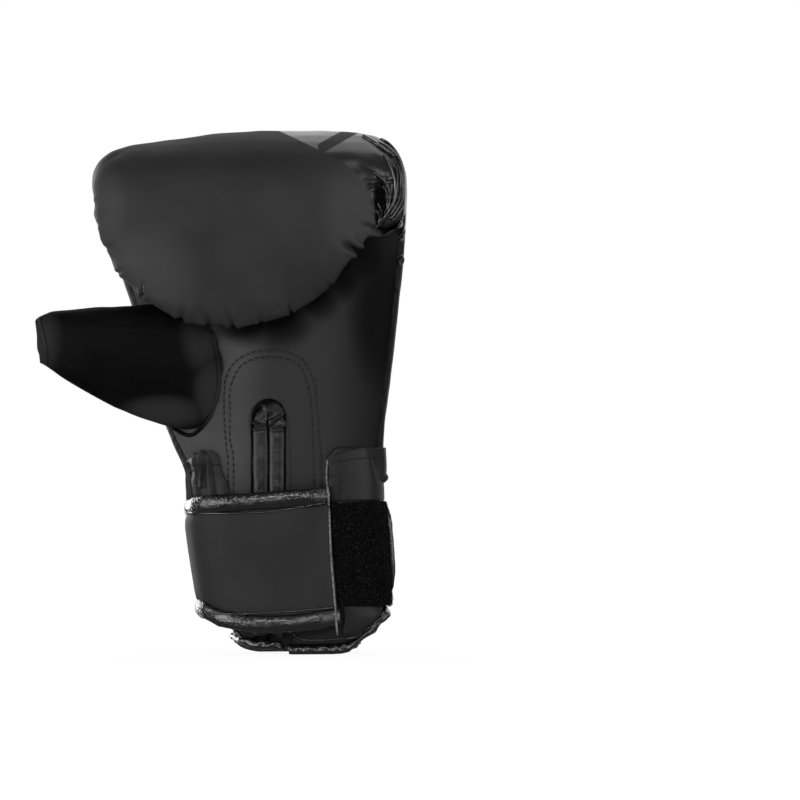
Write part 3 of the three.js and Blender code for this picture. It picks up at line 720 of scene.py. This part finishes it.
def makePadding(sizes):
    piece = softCopy("handPadding", ["hand_pad", "finger_roll"], sizes["voxel"], sizes["rounds"], 1)
    mesh = piece.data
    points, x, y, z = columnsOf(mesh)
    ahead = step(-normalsOf(mesh)[:, 1], 0.25, 0.7) * step(-y, 0.01, 0.02)
    evened(mesh, ahead * step(z, 0.193, 0.205) * fall(z, 0.238, 0.25), sizes["levelled"])
    points, x, y, z = columnsOf(mesh)
    normals = normalsOf(mesh)
    flat = points[:, [0, 2]]
    amount = cloud(points, 0.022, 4.0) * 0.0005 + cloud(points, 0.009, 1.0) * 0.00012 + sizes["fuller"]
    amount += sizes["sideFuller"] * step(normals[:, 0], 0.5, 0.9) * step(x, 0.068, 0.08)
    front = step(-y, 0.018, 0.024)
    for place, way, long, wide, deep in sizes["gathers"]:
        apart = flat - placed([place])[0]
        way = np.array([way[0], -way[1]])
        way /= np.linalg.norm(way)
        u = apart @ way / pixel
        v = apart @ np.array([-way[1], way[0]]) / pixel
        spread = wide * (0.55 + 0.5 * np.clip(u, 0, 40) / long)
        # a dip between two small swells
        dip = np.exp(-(v / spread) ** 2) - 0.42 * np.exp(-((np.abs(v) - 2.3 * spread) / (1.3 * spread)) ** 2)
        amount -= front * fall(u, 0, long) * step(u, -26, -10) * dip * deep * pixel
    for swell in sizes["swells"]:
        amount += front * swell["deep"] * pixel * bulge(flat, swell)
    amount += sizes["crown"]["deep"] * pixel * bulge(flat, sizes["crown"])
    # folds that run over the top and round the roll's end, down to the corner where it is sewn
    end = sizes["end"]
    near = np.flatnonzero((x > 0.058) & (z > 0.188))
    spread = flat[near].copy()
    spread[:, 0] += 0.9 * np.clip(y[near] - end["turn"], 0, None)
    lines = [curved(placed(line), 26) for line in end["folds"]]
    dips = np.zeros(len(near))
    count = end["between"]
    for k in range((len(lines) - 1) * count + 1):
        i = min(k // count, len(lines) - 2)
        t = (k - i * count) / count
        distance, along = toPath(spread, lines[i] * (1 - t) + lines[i + 1] * t)
        width = end["width"] * (0.9 + 0.4 * abs(math.sin(2.3 * k)))
        deep = end["deep"] * (0.55 + 0.45 * math.sin(3.1 * k + 1))
        fold = deep * np.exp(-(distance / width) ** 2)
        dips = np.maximum(dips, fold * step(along, 0.02, 0.3) * fall(along, 0.93, 1.0))
    facing = 0.6 * normals[near, 0] - 0.6 * normals[near, 1] + 0.6 * normals[near, 2]
    amount[near] -= dips * step(facing, 0.1, 0.4)
    # fine wrinkles on the thumb-side end
    wrinkle = np.abs(np.sin(z / 0.0042 + cloud(points, 0.02, 2.0) * 3.0))
    amount -= sizes["wrinkle"] * wrinkle * step(-x, 0.05, 0.062) * step(z, 0.185, 0.2) * fall(z, 0.225, 0.24)
    # puckers along the pad's lower seam on the back
    pucker = np.abs(np.sin(x / 0.0045 + cloud(points, 0.03, 6.0) * 2.0))
    amount -= step(y, 0.0, 0.012) * sizes["pucker"] * pucker * fall(z, 0.092, 0.108)
    push(piece, amount)
    bed = surfaceOf(piece)
    # the gap behind the roll's end, pushed straight back
    points = pointsOf(mesh)
    for dent in sizes["dents"]:
        points[:, 1] += front * dent["deep"] * bulge(points[:, [0, 2]], dent, 1.5)
    setPoints(mesh, points)
    return dressed(piece, "printedLeather", ["hand_pad", "finger_roll"]), bed


handPadding, paddingBed = makePadding(padding)
print("glove: padding", len(handPadding.data.polygons), "faces")

# the gathered leather at the roll's end: pleats that meet at its lower corner, each with its half
# width in millimetres and its path in pixels
pleats = [
    (0.6, [(373.1, 174.8), (380.6, 179.5), (386.3, 186.2), (389.1, 193.9), (389.6, 201.6), (387.7, 209.2),
           (386.3, 213)]),
    (0.75, [(383.9, 156.6), (387.2, 161.4), (391, 170), (393.8, 179.5), (394.7, 188.2), (394.7, 195.8),
            (392.4, 204.4), (389.1, 211.1), (384.4, 218.8), (378.8, 225.5), (374.1, 229.8)]),
    (0.45, [(383, 188.2), (386.3, 193.9), (387.2, 201.6), (386.7, 208.3), (385.3, 213), (383.9, 215.9)]),
    (0.45, [(377.8, 205.4), (380.6, 211.1), (381.1, 216.9), (380.2, 222.6)]),
    (0.45, [(373.1, 216.9), (375, 212.1), (377.8, 215), (379.2, 219.7), (378.8, 224.5)]),
    (0.6, [(394.2, 167.1), (396.6, 172.8), (396.6, 182.4), (396.1, 193.9), (394.7, 201.6), (391.9, 207.3),
           (388.2, 214), (385.3, 218.3)]),
    (0.6, [(397.1, 165.2), (399.9, 174.8), (399.9, 186.2), (399.9, 195.8), (397.5, 203.5), (393.8, 210.2),
           (390, 215.9)]),
    (0.8, [(377.8, 143.2), (385.3, 147), (391.9, 151.8), (396.6, 156.6), (399.4, 163.3), (401.3, 172.8),
           (401.8, 184.3), (402, 195.8), (400.3, 204.4), (396.6, 211.1), (392.8, 216.9), (388.2, 220.7)]),
    (0.8, [(379.7, 139.4), (387.2, 143.2), (393.8, 149.9), (398.5, 157.5), (401.8, 167.1), (403.3, 178.6),
           (403.8, 190.1), (403.4, 201.6), (401.3, 209.2), (396.6, 216.9), (391.9, 222.1)]),
    (1.1, [(363.8, 137.4), (373.1, 143.2), (381.6, 148.9), (388.2, 153.7), (393.8, 158)]),
    (0.7, [(403.6, 203.5), (403, 213), (401.3, 220.7), (398.5, 226.4), (396.1, 229.3)]),
    (0.8, [(403.8, 215), (403.8, 223.6), (402.4, 231.2), (399.4, 237), (397.5, 238.9)]),
    (0.7, [(404, 225.5), (404, 232.2), (402.2, 238.9), (398.9, 241.7)]),
]
for i, (half, path) in enumerate(pleats):
    laid = calmed(seated(paddingBed, curved(placed(path), 70), 0.0001), 120)
    dressed(tube("endPleat" + str(i + 1), laid, half * 0.001, 10, 1.5), "glossPleat")


# the palm

palm = {
    "voxel": 0.0009, "rounds": 4, "rim": {"right": 0.0026, "left": 0.0008},
    "outerSeam": [(229, 500), (229, 460), (227, 442), (225, 409), (225.5, 390), (227.5, 376), (236, 362),
                  (252, 353), (273.6, 350), (292, 353.5), (305, 362), (315, 383), (317.5, 405), (320, 438),
                  (322, 453), (323, 490)],
    "innerSeam": [(234.5, 500), (234.5, 459), (231, 438), (231, 412), (230.5, 395), (233.4, 381), (241, 367),
                  (255, 359), (273.6, 357), (291, 360), (301, 367), (306, 377), (310, 391), (312, 407),
                  (314, 438), (315, 490)],
    "thumbSeam": [(210, 324), (216, 345), (219.5, 365), (219, 391), (212.6, 414), (204, 426), (193.5, 434.5),
                  (183, 433), (170.5, 425)],
    "slitSeam": [(256, 496), (252, 440), (250.5, 418), (254.5, 407), (267, 401), (279.5, 405), (288, 418),
                 (290, 440), (292, 496)],
    "archDrop": 0.0032,
}


def makePalm(sizes):
    piece = softCopy("palmPanel", ["palm_panel"], sizes["voxel"], sizes["rounds"])
    points, x, y, z = columnsOf(piece.data)
    near = step(x, 0.002, 0.012) * fall(x, 0.037, 0.047)
    z -= sizes["archDrop"] * near * step(z, 0.108, 0.126) * fall(z, 0.13, 0.155)
    flat = points[:, [0, 2]]
    amount = cloud(points, 0.02, 3.0) * 0.0004
    front = step(-normalsOf(piece.data)[:, 1], 0.1, 0.4)
    x += sizes["rim"]["right"] * step(x, 0.06, 0.085) - sizes["rim"]["left"] * fall(x, -0.03, 0.0)
    setPoints(piece.data, points)
    outer, inner = [curved(placed(sizes[seam]), 90) for seam in ("outerSeam", "innerSeam")]
    for line in (outer, inner):
        amount += front * groove(flat, line, 0.0008, 0.0006)
    # the band between the two rows stands a little proud
    amount -= front * groove(flat, (outer + inner) / 2, 0.0012, 0.00025)
    push(piece, amount)
    return dressed(piece, "palmLeather", ["palm_panel"])


palmPanel = makePalm(palm)
print("glove: palm", len(palmPanel.data.polygons), "faces")


# the thumb

thumb = {
    "voxel": 0.001, "rounds": 6, "fill": 0.5, "belly": 0.001, "mouthDraw": 0.0028,
    "lips": {"nearLip": {"half": 0.0007, "path": [(41.0, 314.5), (43.6, 326.6), (46.3, 338), (48.7, 349.5),
                                                  (49.6, 358.2), (49.1, 365)]},
             "farLip": {"half": 0.0006, "path": [(39.4, 316), (37.6, 333.3), (38.8, 346.7), (41.3, 358.2),
                                                 (44.8, 364.8)]}},
}


def makeThumb(sizes):
    piece = softCopy("thumbSleeve", ["thumb"], sizes["voxel"], sizes["rounds"])
    points = pointsOf(piece.data)
    amount = cloud(points, 0.02, 5.0) * 0.0006 + cloud(points * np.array([1, 1, 0.5]), 0.008, 8.0) * 0.0002
    amount += sizes["belly"] * step(-normalsOf(piece.data)[:, 2], 0.2, 0.7)
    push(piece, amount)
    points, x, y, z = columnsOf(piece.data)
    x += sizes["mouthDraw"] * fall(x, -0.092, -0.076) * fall(z, 0.143, 0.153)
    setPoints(piece.data, points)
    return dressed(piece, "thumbLeather", ["thumb"])


thumbSleeve = makeThumb(thumb)
sleeveSurface = surfaceOf(thumbSleeve)
for name, lip in thumb["lips"].items():
    bead = tube(name, seated(sleeveSurface, curved(placed(lip["path"]), 40), 0.0001), lip["half"])
    dressed(bead, "bandLeather")


# the cuff, band, loop patch, strap and bindings

hem = {"lift": 0.0025, "from": 0.026, "to": 0.036, "draw": 0.0065, "corner": 0.003, "flare": 0.003}
dressing = {
    "cuffWall": {"parts": ["cuff"], "voxel": 0.0014, "rounds": 4, "finish": "lining", "slot": "lining"},
    "wristBand": {"parts": ["wrist_band"], "voxel": 0.0009, "rounds": 3, "evened": 8, "corner": 0.0045,
                  "finish": "bandLeather", "slot": "band_leather"},
    "loopPatch": {"parts": ["loop_patch"], "voxel": 0.0008, "rounds": 2, "wider": 0.005,
                  "finish": "pileFibre", "slot": "loop_pile"},
    "strapPanel": {"parts": ["strap"], "voxel": 0.0009, "rounds": 4, "evened": 30,
                   "finish": "strapLeather", "slot": "strap_leather"},
    "strapBinding": {"parts": ["strap_binding"], "voxel": 0.0008, "rounds": 4, "fuller": 0.0006, "evened": 10,
                     "draw": 0.002, "finish": "glossBinding", "slot": "gloss_binding"},
    "slitBinding": {"parts": ["slit_binding"], "voxel": 0.0006, "rounds": 3, "fuller": 0.0002,
                    "drop": 0.005, "thinner": 0.8, "finish": "slitLeather", "slot": "slit_leather"},
    "hemBinding": {"parts": ["hem_binding"], "voxel": 0.0007, "rounds": 4, "finish": "glossBinding",
                   "slot": "gloss_binding"},
}


def foldsOf(name, points):
    # how far each point of a binding is pushed out by its puckers
    x, y, z = points.T
    if name == "hemBinding":
        pucker = np.abs(np.sin(np.arctan2(y, x - 0.041) * 13 + cloud(points, 0.02, 1.0) * 4))
        return (0.0004 - 0.001 * pucker) * step(z, 0.001, 0.003)
    if name == "slitBinding":
        # bunched at the slit's top
        folds = np.abs(np.sin(np.arctan2(z - 0.112, x - 0.0237) * 5.5 + cloud(points, 0.006, 1.0) * 2))
        return step(z, 0.108, 0.118) * (0.0011 - 0.0014 * folds) + cloud(points, 0.005, 6.0) * 0.0002
    if name == "strapBinding":
        return -0.0003 * np.abs(np.sin(x / 0.006 + cloud(points, 0.02, 3.0) * 4))
    return 0.0


def drawnIn(name, sizes, points):
    # moves the points of a piece to where its edges lie in the photograph
    x, y, z = points.T
    palmwards = step(-y, 0.0, 0.01)
    if name == "strapBinding":
        x += sizes["draw"] * fall(x, -0.02, -0.002) * step(z, 0.04, 0.06)
    if name == "wristBand":
        # its upper corner is cut round
        corner = fall(x, 0.0525, 0.0585) * step(z, 0.09, 0.101) * palmwards
        z -= sizes["corner"] * corner * step(x, 0.044, 0.048)
    if name == "loopPatch":
        x -= sizes["wider"] * fall(x, 0.064, 0.075) * palmwards
    if name == "slitBinding":
        # lower at its top, closed towards the slit's middle line, and thinner
        z -= sizes["drop"] * step(z, 0.107, 0.126)
        apart = x - (0.02475 - 0.04 * (z - 0.08))
        closing = 0.0014 + 0.0012 * step(z, 0.112, 0.116)
        inward = np.minimum(np.abs(apart), closing * fall(np.abs(apart), 0.0025, 0.0075))
        x -= np.sign(apart) * inward * fall(z, 0.122, 0.126)
        y[:] = y.max() + (y - y.max()) * sizes["thinner"]


def hemmed(points, whole):
    # the hem's rise in front, and its drawn corner and flare
    x, y, z = points.T
    low = fall(z, 0.008, 0.03)
    z += hem["lift"] * fall(x, hem["from"], hem["to"]) * step(-y, 0.0, 0.01) * low
    if whole:
        x += hem["draw"] * fall(x, -0.004, 0.024) * low
        z += hem["corner"] * fall(x, 0.003, 0.02) * low
        out = hem["flare"] * (np.exp(-((z - 0.0185) / 0.005) ** 2) - fall(z, 0.005, 0.011))
        x += out * step(x, 0.05, 0.075)


made = {}
for name, sizes in dressing.items():
    made[name] = softCopy(name, sizes["parts"], sizes["voxel"], sizes["rounds"])
    mesh = made[name].data
    points = pointsOf(mesh)
    push(made[name], cloud(points, 0.012, 2.5) * 0.0002 + sizes.get("fuller", 0.0) + foldsOf(name, points))
    points = pointsOf(mesh)
    drawnIn(name, sizes, points)
    setPoints(mesh, points)
    if "evened" in sizes:
        for axis in (0, 1):
            evened(mesh, np.ones(len(mesh.vertices)), sizes["evened"], axis)
    if name in ("hemBinding", "cuffWall", "slitBinding", "wristBand"):
        points = pointsOf(mesh)
        hemmed(points, name != "slitBinding")
        setPoints(mesh, points)
    dressed(made[name], sizes["finish"], sizes["parts"])

cuffAxis = 0.036
underFlap = surfaceOf(made["cuffWall"], made["wristBand"], palmPanel, handPadding)
flap = {
    "edge": [(328, 455), (327.5, 476), (329, 501), (331, 530)],
    "top": [(328, 454), (340, 450), (354, 448), (384, 446.5)],
    "far": 0.62, "low": 0.0765, "thick": 0.0013, "dipAtEnd": 0.012, "roundedBy": 0.0028,
}
tab = {
    "left": [(184, 462), (187.4, 472), (187.6, 480.8), (188.2, 491), (188.6, 505)],
    "right": [(216.4, 451), (220.4, 458.9), (221.6, 464.5), (223.4, 471.6), (227, 480), (231, 491),
              (234, 505)],
    "top": [(183, 464.2), (193, 457.5), (202.7, 451.6), (210.8, 450.2), (216.4, 452), (221, 458)],
    "crease": [(202.7, 450), (202.7, 457.3), (203.7, 464.5), (202.7, 470.6), (201.6, 478.3), (201.9, 486)],
    "columns": 46, "rows": 36, "behind": 6, "thick": 0.0011, "deepest": -0.009, "belly": 0.0012,
}


def flapCorner(u, v):
    # from the raw edge round to the little-finger side, and up to the flap's top
    edge, top = curved(placed(flap["edge"]), 30), curved(placed(flap["top"]), 30)
    z = flap["low"] + (edge[0, 1] - flap["low"]) * v
    start = angleAt(underFlap, float(np.interp(z, edge[::-1, 1], edge[::-1, 0])), z, cuffAxis)
    angle = start + (flap["far"] - start) * u
    rise = float(top[-1, 1] - top[0, 1]) * min(u * 4, 1) - flap["dipAtEnd"] * max(0.0, (u - 0.85) / 0.15)
    rise -= flap["roundedBy"] * max(0.0, 1 - u / 0.07) ** 2
    return angle, z + rise * v


def makeTab(sizes):
    # a soft tab on the palm side that bends back round the wrist at its left
    left, right, top = [curved(placed(sizes[name]), 40) for name in ("left", "right", "top")]
    shape = bmesh.new()
    grid = []
    bottom = left[-1, 1]
    for i in range(sizes["rows"] + 1):
        row = []
        v = i / sizes["rows"]
        for j in range(-sizes["behind"], sizes["columns"] + 1):
            u = max(j, 0) / sizes["columns"]
            x, z = left[-1, 0], bottom + 0.02 * v
            for turn in range(3):
                low, high = [np.interp(z, line[::-1, 1], line[::-1, 0]) for line in (left, right)]
                x = float(low * (1 - u) + high * u)
                z = bottom + (float(np.interp(x, top[:, 0], top[:, 1])) - bottom) * v
            # past the wrist's outline the tab goes on backwards
            for shift in range(24):
                spot = frontOf(underFlap, x + shift * 0.0005, z)[0]
                if spot is not None:
                    break
            y = min(spot.y + shift * 0.0006, sizes["deepest"])
            y -= sizes["belly"] * math.sin(math.pi * min(u * 2.2, 1)) * math.sin(math.pi * min(v * 1.2, 1))
            if j < 0:
                x, y = x + 0.0001 * j * j, y - 0.0012 * j
            row.append(shape.verts.new((x, y - 0.0003, z)))
        grid.append(row)
    skinned(shape, grid)
    relaxed(shape, 9, False)
    piece = walled(newPiece("wristTab", meshOf("wristTab", shape)), sizes["thick"])
    flat = pointsOf(piece.data)[:, [0, 2]]
    crease = curved(placed(sizes["crease"]), 40)
    push(piece, groove(flat, crease, 0.0008, -0.0007) + groove(flat, crease + [0.0016, 0], 0.0009, 0.0007))
    return dressed(piece, "bandLeather")


wristFlap = wrapped("wristFlap", underFlap, flapCorner, 70, 40, flap["thick"], cuffAxis)
dressed(wristFlap, "bandLeather")
wristTab = makeTab(tab)


def innerLining(sizes):
    # the cloth inside the cuff and the palm, laid against the walls round the opening
    walls = surfaceOf(made["cuffWall"], handPadding, palmPanel, made["slitBinding"])
    turns, levels = sizes["turns"], sizes["levels"]

    def core(i):
        return Vector((cuffAxis, 0.001, sizes["low"] + (sizes["high"] - sizes["low"]) * i / levels))

    angles = [2 * math.pi * k / turns for k in range(turns)]
    ways = [Vector((math.cos(a), math.sin(a) * 0.6, 0)).normalized() for a in angles]
    reach = np.full((levels + 1, turns), np.nan)
    for i in range(levels + 1):
        for k, way in enumerate(ways):
            spot = walls.ray_cast(core(i), way)[0]
            if spot is not None and (spot.x - cuffAxis) ** 2 < sizes["widest"] ** 2:
                reach[i, k] = (spot - core(i)).length
    for i in range(levels, -1, -1):
        good = np.flatnonzero(~np.isnan(reach[i]))
        if len(good) < turns / 3:
            reach[i] = reach[i + 1]
        else:
            reach[i] = np.interp(np.arange(turns), good, reach[i][good], period=turns)
    for turn in range(4):
        reach = np.minimum(reach, (np.roll(reach, 1, 1) + np.roll(reach, -1, 1)) / 2 + 0.0002)
        reach[1:-1] = np.minimum(reach[1:-1], (reach[2:] + reach[:-2]) / 2 + 0.0002)
    shape = bmesh.new()
    rings = [[shape.verts.new(core(i) + way * (reach[i, k] - sizes["clear"])) for k, way in enumerate(ways)]
             for i in range(levels + 1)]
    for low, high in zip(rings[:-1], rings[1:]):
        for k in range(turns):
            a, b = low[k], low[(k + 1) % turns]
            middle = (a.co + b.co) / 2
            inSlit = abs(middle.x - sizes["slitX"]) < sizes["slitHalf"] and middle.z < sizes["slitTop"]
            if middle.y >= 0 or not inSlit:
                shape.faces.new([a, b, high[(k + 1) % turns], high[k]])
    loose = [v for v in shape.verts if not v.link_faces]
    bmesh.ops.delete(shape, geom=loose, context="VERTS")
    piece = newPiece("innerLining", meshOf("innerLining", shape))
    piece.modifiers.new("wall", "SOLIDIFY").thickness = sizes["thick"]
    finished(piece)
    piece.data.shade_smooth()
    return dressed(piece, "lining")


innerLining({"turns": 96, "levels": 60, "low": 0.0045, "high": 0.2, "clear": 0.0007, "thick": 0.0006,
             "widest": 0.06, "slitX": 0.0243, "slitHalf": 0.0045, "slitTop": 0.124})
print("glove: cuff dressed")


# stitches, piping and pile

hemLine = [(290, 629), (297, 634.5), (305, 638.4), (327, 638.4), (356, 635.8), (363, 631.2), (389, 611)]
threads = {
    "palmStitches": {"on": "palm", "pitch": 0.0031, "length": 0.0024, "width": 0.0008,
                     "rows": [palm["outerSeam"], palm["innerSeam"]]},
    "slitStitches": {"on": "palm", "pitch": 0.0026, "length": 0.0019, "width": 0.0005,
                     "rows": [palm["slitSeam"]]},
    "strapStitches": {"on": "cuff", "pitch": 0.0027, "length": 0.002, "width": 0.00055,
                      "rows": [[(185, 508), (192, 512.4), (221, 512.4), (250, 511.5), (272.6, 510),
                                (327, 501)],
                               [(199, 607), (213, 612.4), (250, 611.8), (290, 609.6), (334, 605.8)]]},
    "flapStitches": {"on": "cuff", "pitch": 0.0028, "length": 0.0021, "width": 0.0008,
                     "rows": [[(334, 462), (354, 458.5), (384, 457)], [(340, 464), (341, 499)],
                              [(342, 600), (343.5, 634)], [(190, 472.7), (203, 465), (219, 464.5)]]},
    "hemStitches": {"on": "cuff", "pitch": 0.0028, "length": 0.002, "width": 0.0006, "rows": [hemLine]},
}
stitching = stitchTree()
cuffPieces = [made[n] for n in ("wristBand", "loopPatch", "strapPanel", "strapBinding", "hemBinding",
                                "cuffWall")]
surfaces = {"palm": surfaceOf(palmPanel, made["slitBinding"], made["wristBand"], made["strapBinding"],
                              wristFlap, wristTab),
            "cuff": surfaceOf(wristFlap, wristTab, *cuffPieces, palmPanel)}
for name, sizes in threads.items():
    paths = [seated(surfaces[sizes["on"]], curved(placed(row), 80), 0.00005) for row in sizes["rows"]]
    piece = grown(name, wireMesh(name, paths), stitching,
                  {"Pitch": sizes["pitch"], "Length": sizes["length"], "Width": sizes["width"],
                   "Thread": finishes["blackThread"]})
    dressed(piece, "blackThread")

ridges = {
    "upperBindingEdge": [(185.5, 509.5), (192, 512.6), (221, 512.8), (250, 512), (272.6, 510.6),
                         (327, 501.8)],
    "lowerBindingEdge": [(199, 607.5), (213, 612.4), (250, 612), (290, 609.8), (334, 606)],
    "hemEdge": hemLine,
}
for name, row in ridges.items():
    ridge = tube(name, seated(surfaces["cuff"], curved(placed(row), 90), 0.0001), 0.00055)
    push(ridge, cloud(pointsOf(ridge.data), 0.0016, 3.0) * 0.00018)
    dressed(ridge, "glossPleat")

gathers = {"hemGather1": {"half": 0.0019, "path": [(231, 635), (238, 638.5), (247, 640), (258, 639)]},
           "hemGather2": {"half": 0.0013, "path": [(263.5, 631.5), (267.5, 636), (269, 641)]}}
for name, gather in gathers.items():
    laid = calmed(seated(surfaces["cuff"], curved(placed(gather["path"]), 30), -0.0003), 30)
    lump = tube(name, laid, gather["half"], 12)
    push(lump, cloud(pointsOf(lump.data), 0.004, 2.0) * 0.0005)
    dressed(lump, "glossBinding")

frill = {"half": 0.0004, "depth": -0.005, "path": [(397, 257.5), (401, 255.8), (403.8, 259), (402.8, 263.4),
                                                   (400.6, 264.8), (399.2, 262.4), (400.4, 260.4)]}
frillPath = [(x, frill["depth"], z) for x, z in curved(placed(frill["path"]), 40)]
dressed(tube("endFrill", frillPath, frill["half"], 8, 2.0), "glossPleat")

thumbSurface = surfaceOf(palmPanel, thumbSleeve)
piping = tube("thumbPiping", seated(thumbSurface, curved(placed(palm["thumbSeam"]), 60), 0.0002), 0.001)
dressed(piping, "thumbLeather")

rawPath = [(328, 459), (327, 476), (329, 501), (331, 552), (334, 589), (337.6, 634)]
rawEdge = tube("flapEdge", seated(surfaces["cuff"], curved(placed(rawPath), 60), 0.0002), 0.0005)
dressed(rawEdge, "rawEdge")
loosePath = [(145.6, 293), (146.2, 290), (146.8, 286)]
looseEnd = tube("looseThread", seated(paddingBed, curved(placed(loosePath), 20), 0.0002), 0.0003)
dressed(looseEnd, "rawEdge")


def outerFaces(piece, name):
    # the outward half of a patch wrapped round the cuff
    shape = bmesh.new()
    shape.from_mesh(piece.data)
    middle = Vector((0.033, 0.0, 0.05))
    inner = [f for f in shape.faces if (f.calc_center_median() - middle).dot(f.normal) < 0.005]
    bmesh.ops.delete(shape, geom=inner, context="FACES")
    return meshOf(name, shape)


pile = {"Density": 2200000.0, "Height": 0.0011, "Width": 0.00016, "Fibre": finishes["pileFibre"]}
fibres = grown("pileFibres", outerFaces(made["loopPatch"], "pileBed"), pileTree(), pile)
dressed(fibres, "pileFibre")
print("glove: stitches and pile,", len(fibres.data.polygons), "fibre faces")


# floor, backdrop, lamps and camera

studio = {
    "floorRadius": 6.0, "whiteness": 1.0, "nearWhite": 0.93, "air": 0.09, "aim": (0.02, 0, 0.13),
    # name, place, width and height, power
    "lamps": [
        ("keyLight", (-1.7, -1.0, 0.3), (0.9, 1.1), 9.4),
        ("grazingLight", (-1.9, -0.3, 0.3), (0.6, 1.2), 3.5),
        ("lowLight", (-1.3, -1.9, 0.1), (0.8, 0.4), 2.5),
        ("topLight", (0.2, 0.9, 1.8), (2.2, 1.4), 8.0),
        ("backLight", (-1.3, 1.6, 0.4), (0.8, 1.2), 14.0),
        ("backPanel", (0.0, 2.6, 0.6), (4.5, 2.6), 26.0),
        ("rightLight", (1.9, -0.5, 0.4), (0.5, 1.2), 6.0),
        ("stripLight", (-0.1, -2.0, 0.85), (1.6, 0.1), 9.0),
        ("crownLight", (0.7, -1.0, 1.7), (1.0, 0.16), 1.5),
        ("sparkLight", (1.4, -1.3, 0.5), (0.12, 1.3), 3.5),
    ],
}


def disc(name, radius, height):
    shape = bmesh.new()
    bmesh.ops.create_circle(shape, cap_ends=True, segments=96, radius=radius)
    for v in shape.verts:
        v.co.z = height
    return newPiece(name, meshOf(name, shape))


def makeStudio(sizes):
    floor = disc("floor", sizes["floorRadius"], 0.0)
    white = Finish("floorWhite", **{"Specular IOR Level": 0.0, "Base Color": (0.14, 0.14, 0.14, 1),
                                    "Roughness": 1.0, "Emission Strength": 1.0})
    away = white.node("ShaderNodeVectorMath", {"operation": "LENGTH"}, {0: white.place}, output="Value")
    glow = white.mixed(away.rise(0.1, 0.7), (sizes["nearWhite"],) * 3, (sizes["whiteness"],) * 3)
    floor.data.materials.append(white.feed(Emission_Color=glow))
    shape = bmesh.new()
    bmesh.ops.create_uvsphere(shape, u_segments=64, v_segments=32, radius=sizes["floorRadius"])
    bmesh.ops.reverse_faces(shape, faces=shape.faces)
    backdrop = newPiece("backdrop", meshOf("backdrop", shape))
    plain = Finish("backdropWhite", **{"Base Color": (0, 0, 0, 1), "Specular IOR Level": 0.0,
                                       "Emission Color": (1, 1, 1, 1), "Emission Strength": 1.0})
    backdrop.data.materials.append(plain.material)
    backdrop.visible_diffuse = backdrop.visible_glossy = backdrop.visible_transmission = False
    backdrop.visible_volume_scatter = backdrop.visible_shadow = False
    floor.visible_glossy = False
    for name, at, (width, height), power in sizes["lamps"]:
        light = bpy.data.lights.new(name, "AREA")
        light.shape = "RECTANGLE"
        light.size, light.size_y = width, height
        light.energy = power
        holder = bpy.data.objects.new(name, light)
        holder.location = at
        holder.rotation_mode = "QUATERNION"
        holder.rotation_quaternion = (Vector(sizes["aim"]) - Vector(at)).to_track_quat("-Z", "Y")
        holder.visible_camera = False
        world.collection.objects.link(holder)
    sky = bpy.data.worlds.new("studioAir")
    sky.use_nodes = True
    sky.node_tree.nodes["Background"].inputs[0].default_value = (1, 1, 1, 1)
    sky.node_tree.nodes["Background"].inputs[1].default_value = sizes["air"]
    world.world = sky
    world.view_settings.view_transform = "Standard"
    world.view_settings.look = "None"


makeStudio(studio)

lens = {"distance": 4.0, "row": 400.0, "column": 400.0, "frame": 0.4}
camera = bpy.data.cameras.new("camera")
camera.sensor_width = 36.0
camera.lens = 36.0 * lens["distance"] / lens["frame"]
camera.clip_end = 30.0
viewer = bpy.data.objects.new("camera", camera)
aimX, aimZ = placed([(lens["column"], lens["row"])])[0]
viewer.location = (aimX, -lens["distance"], aimZ)
viewer.rotation_euler = (math.pi / 2, 0, 0)
world.collection.objects.link(viewer)
world.camera = viewer
print("glove: studio set")
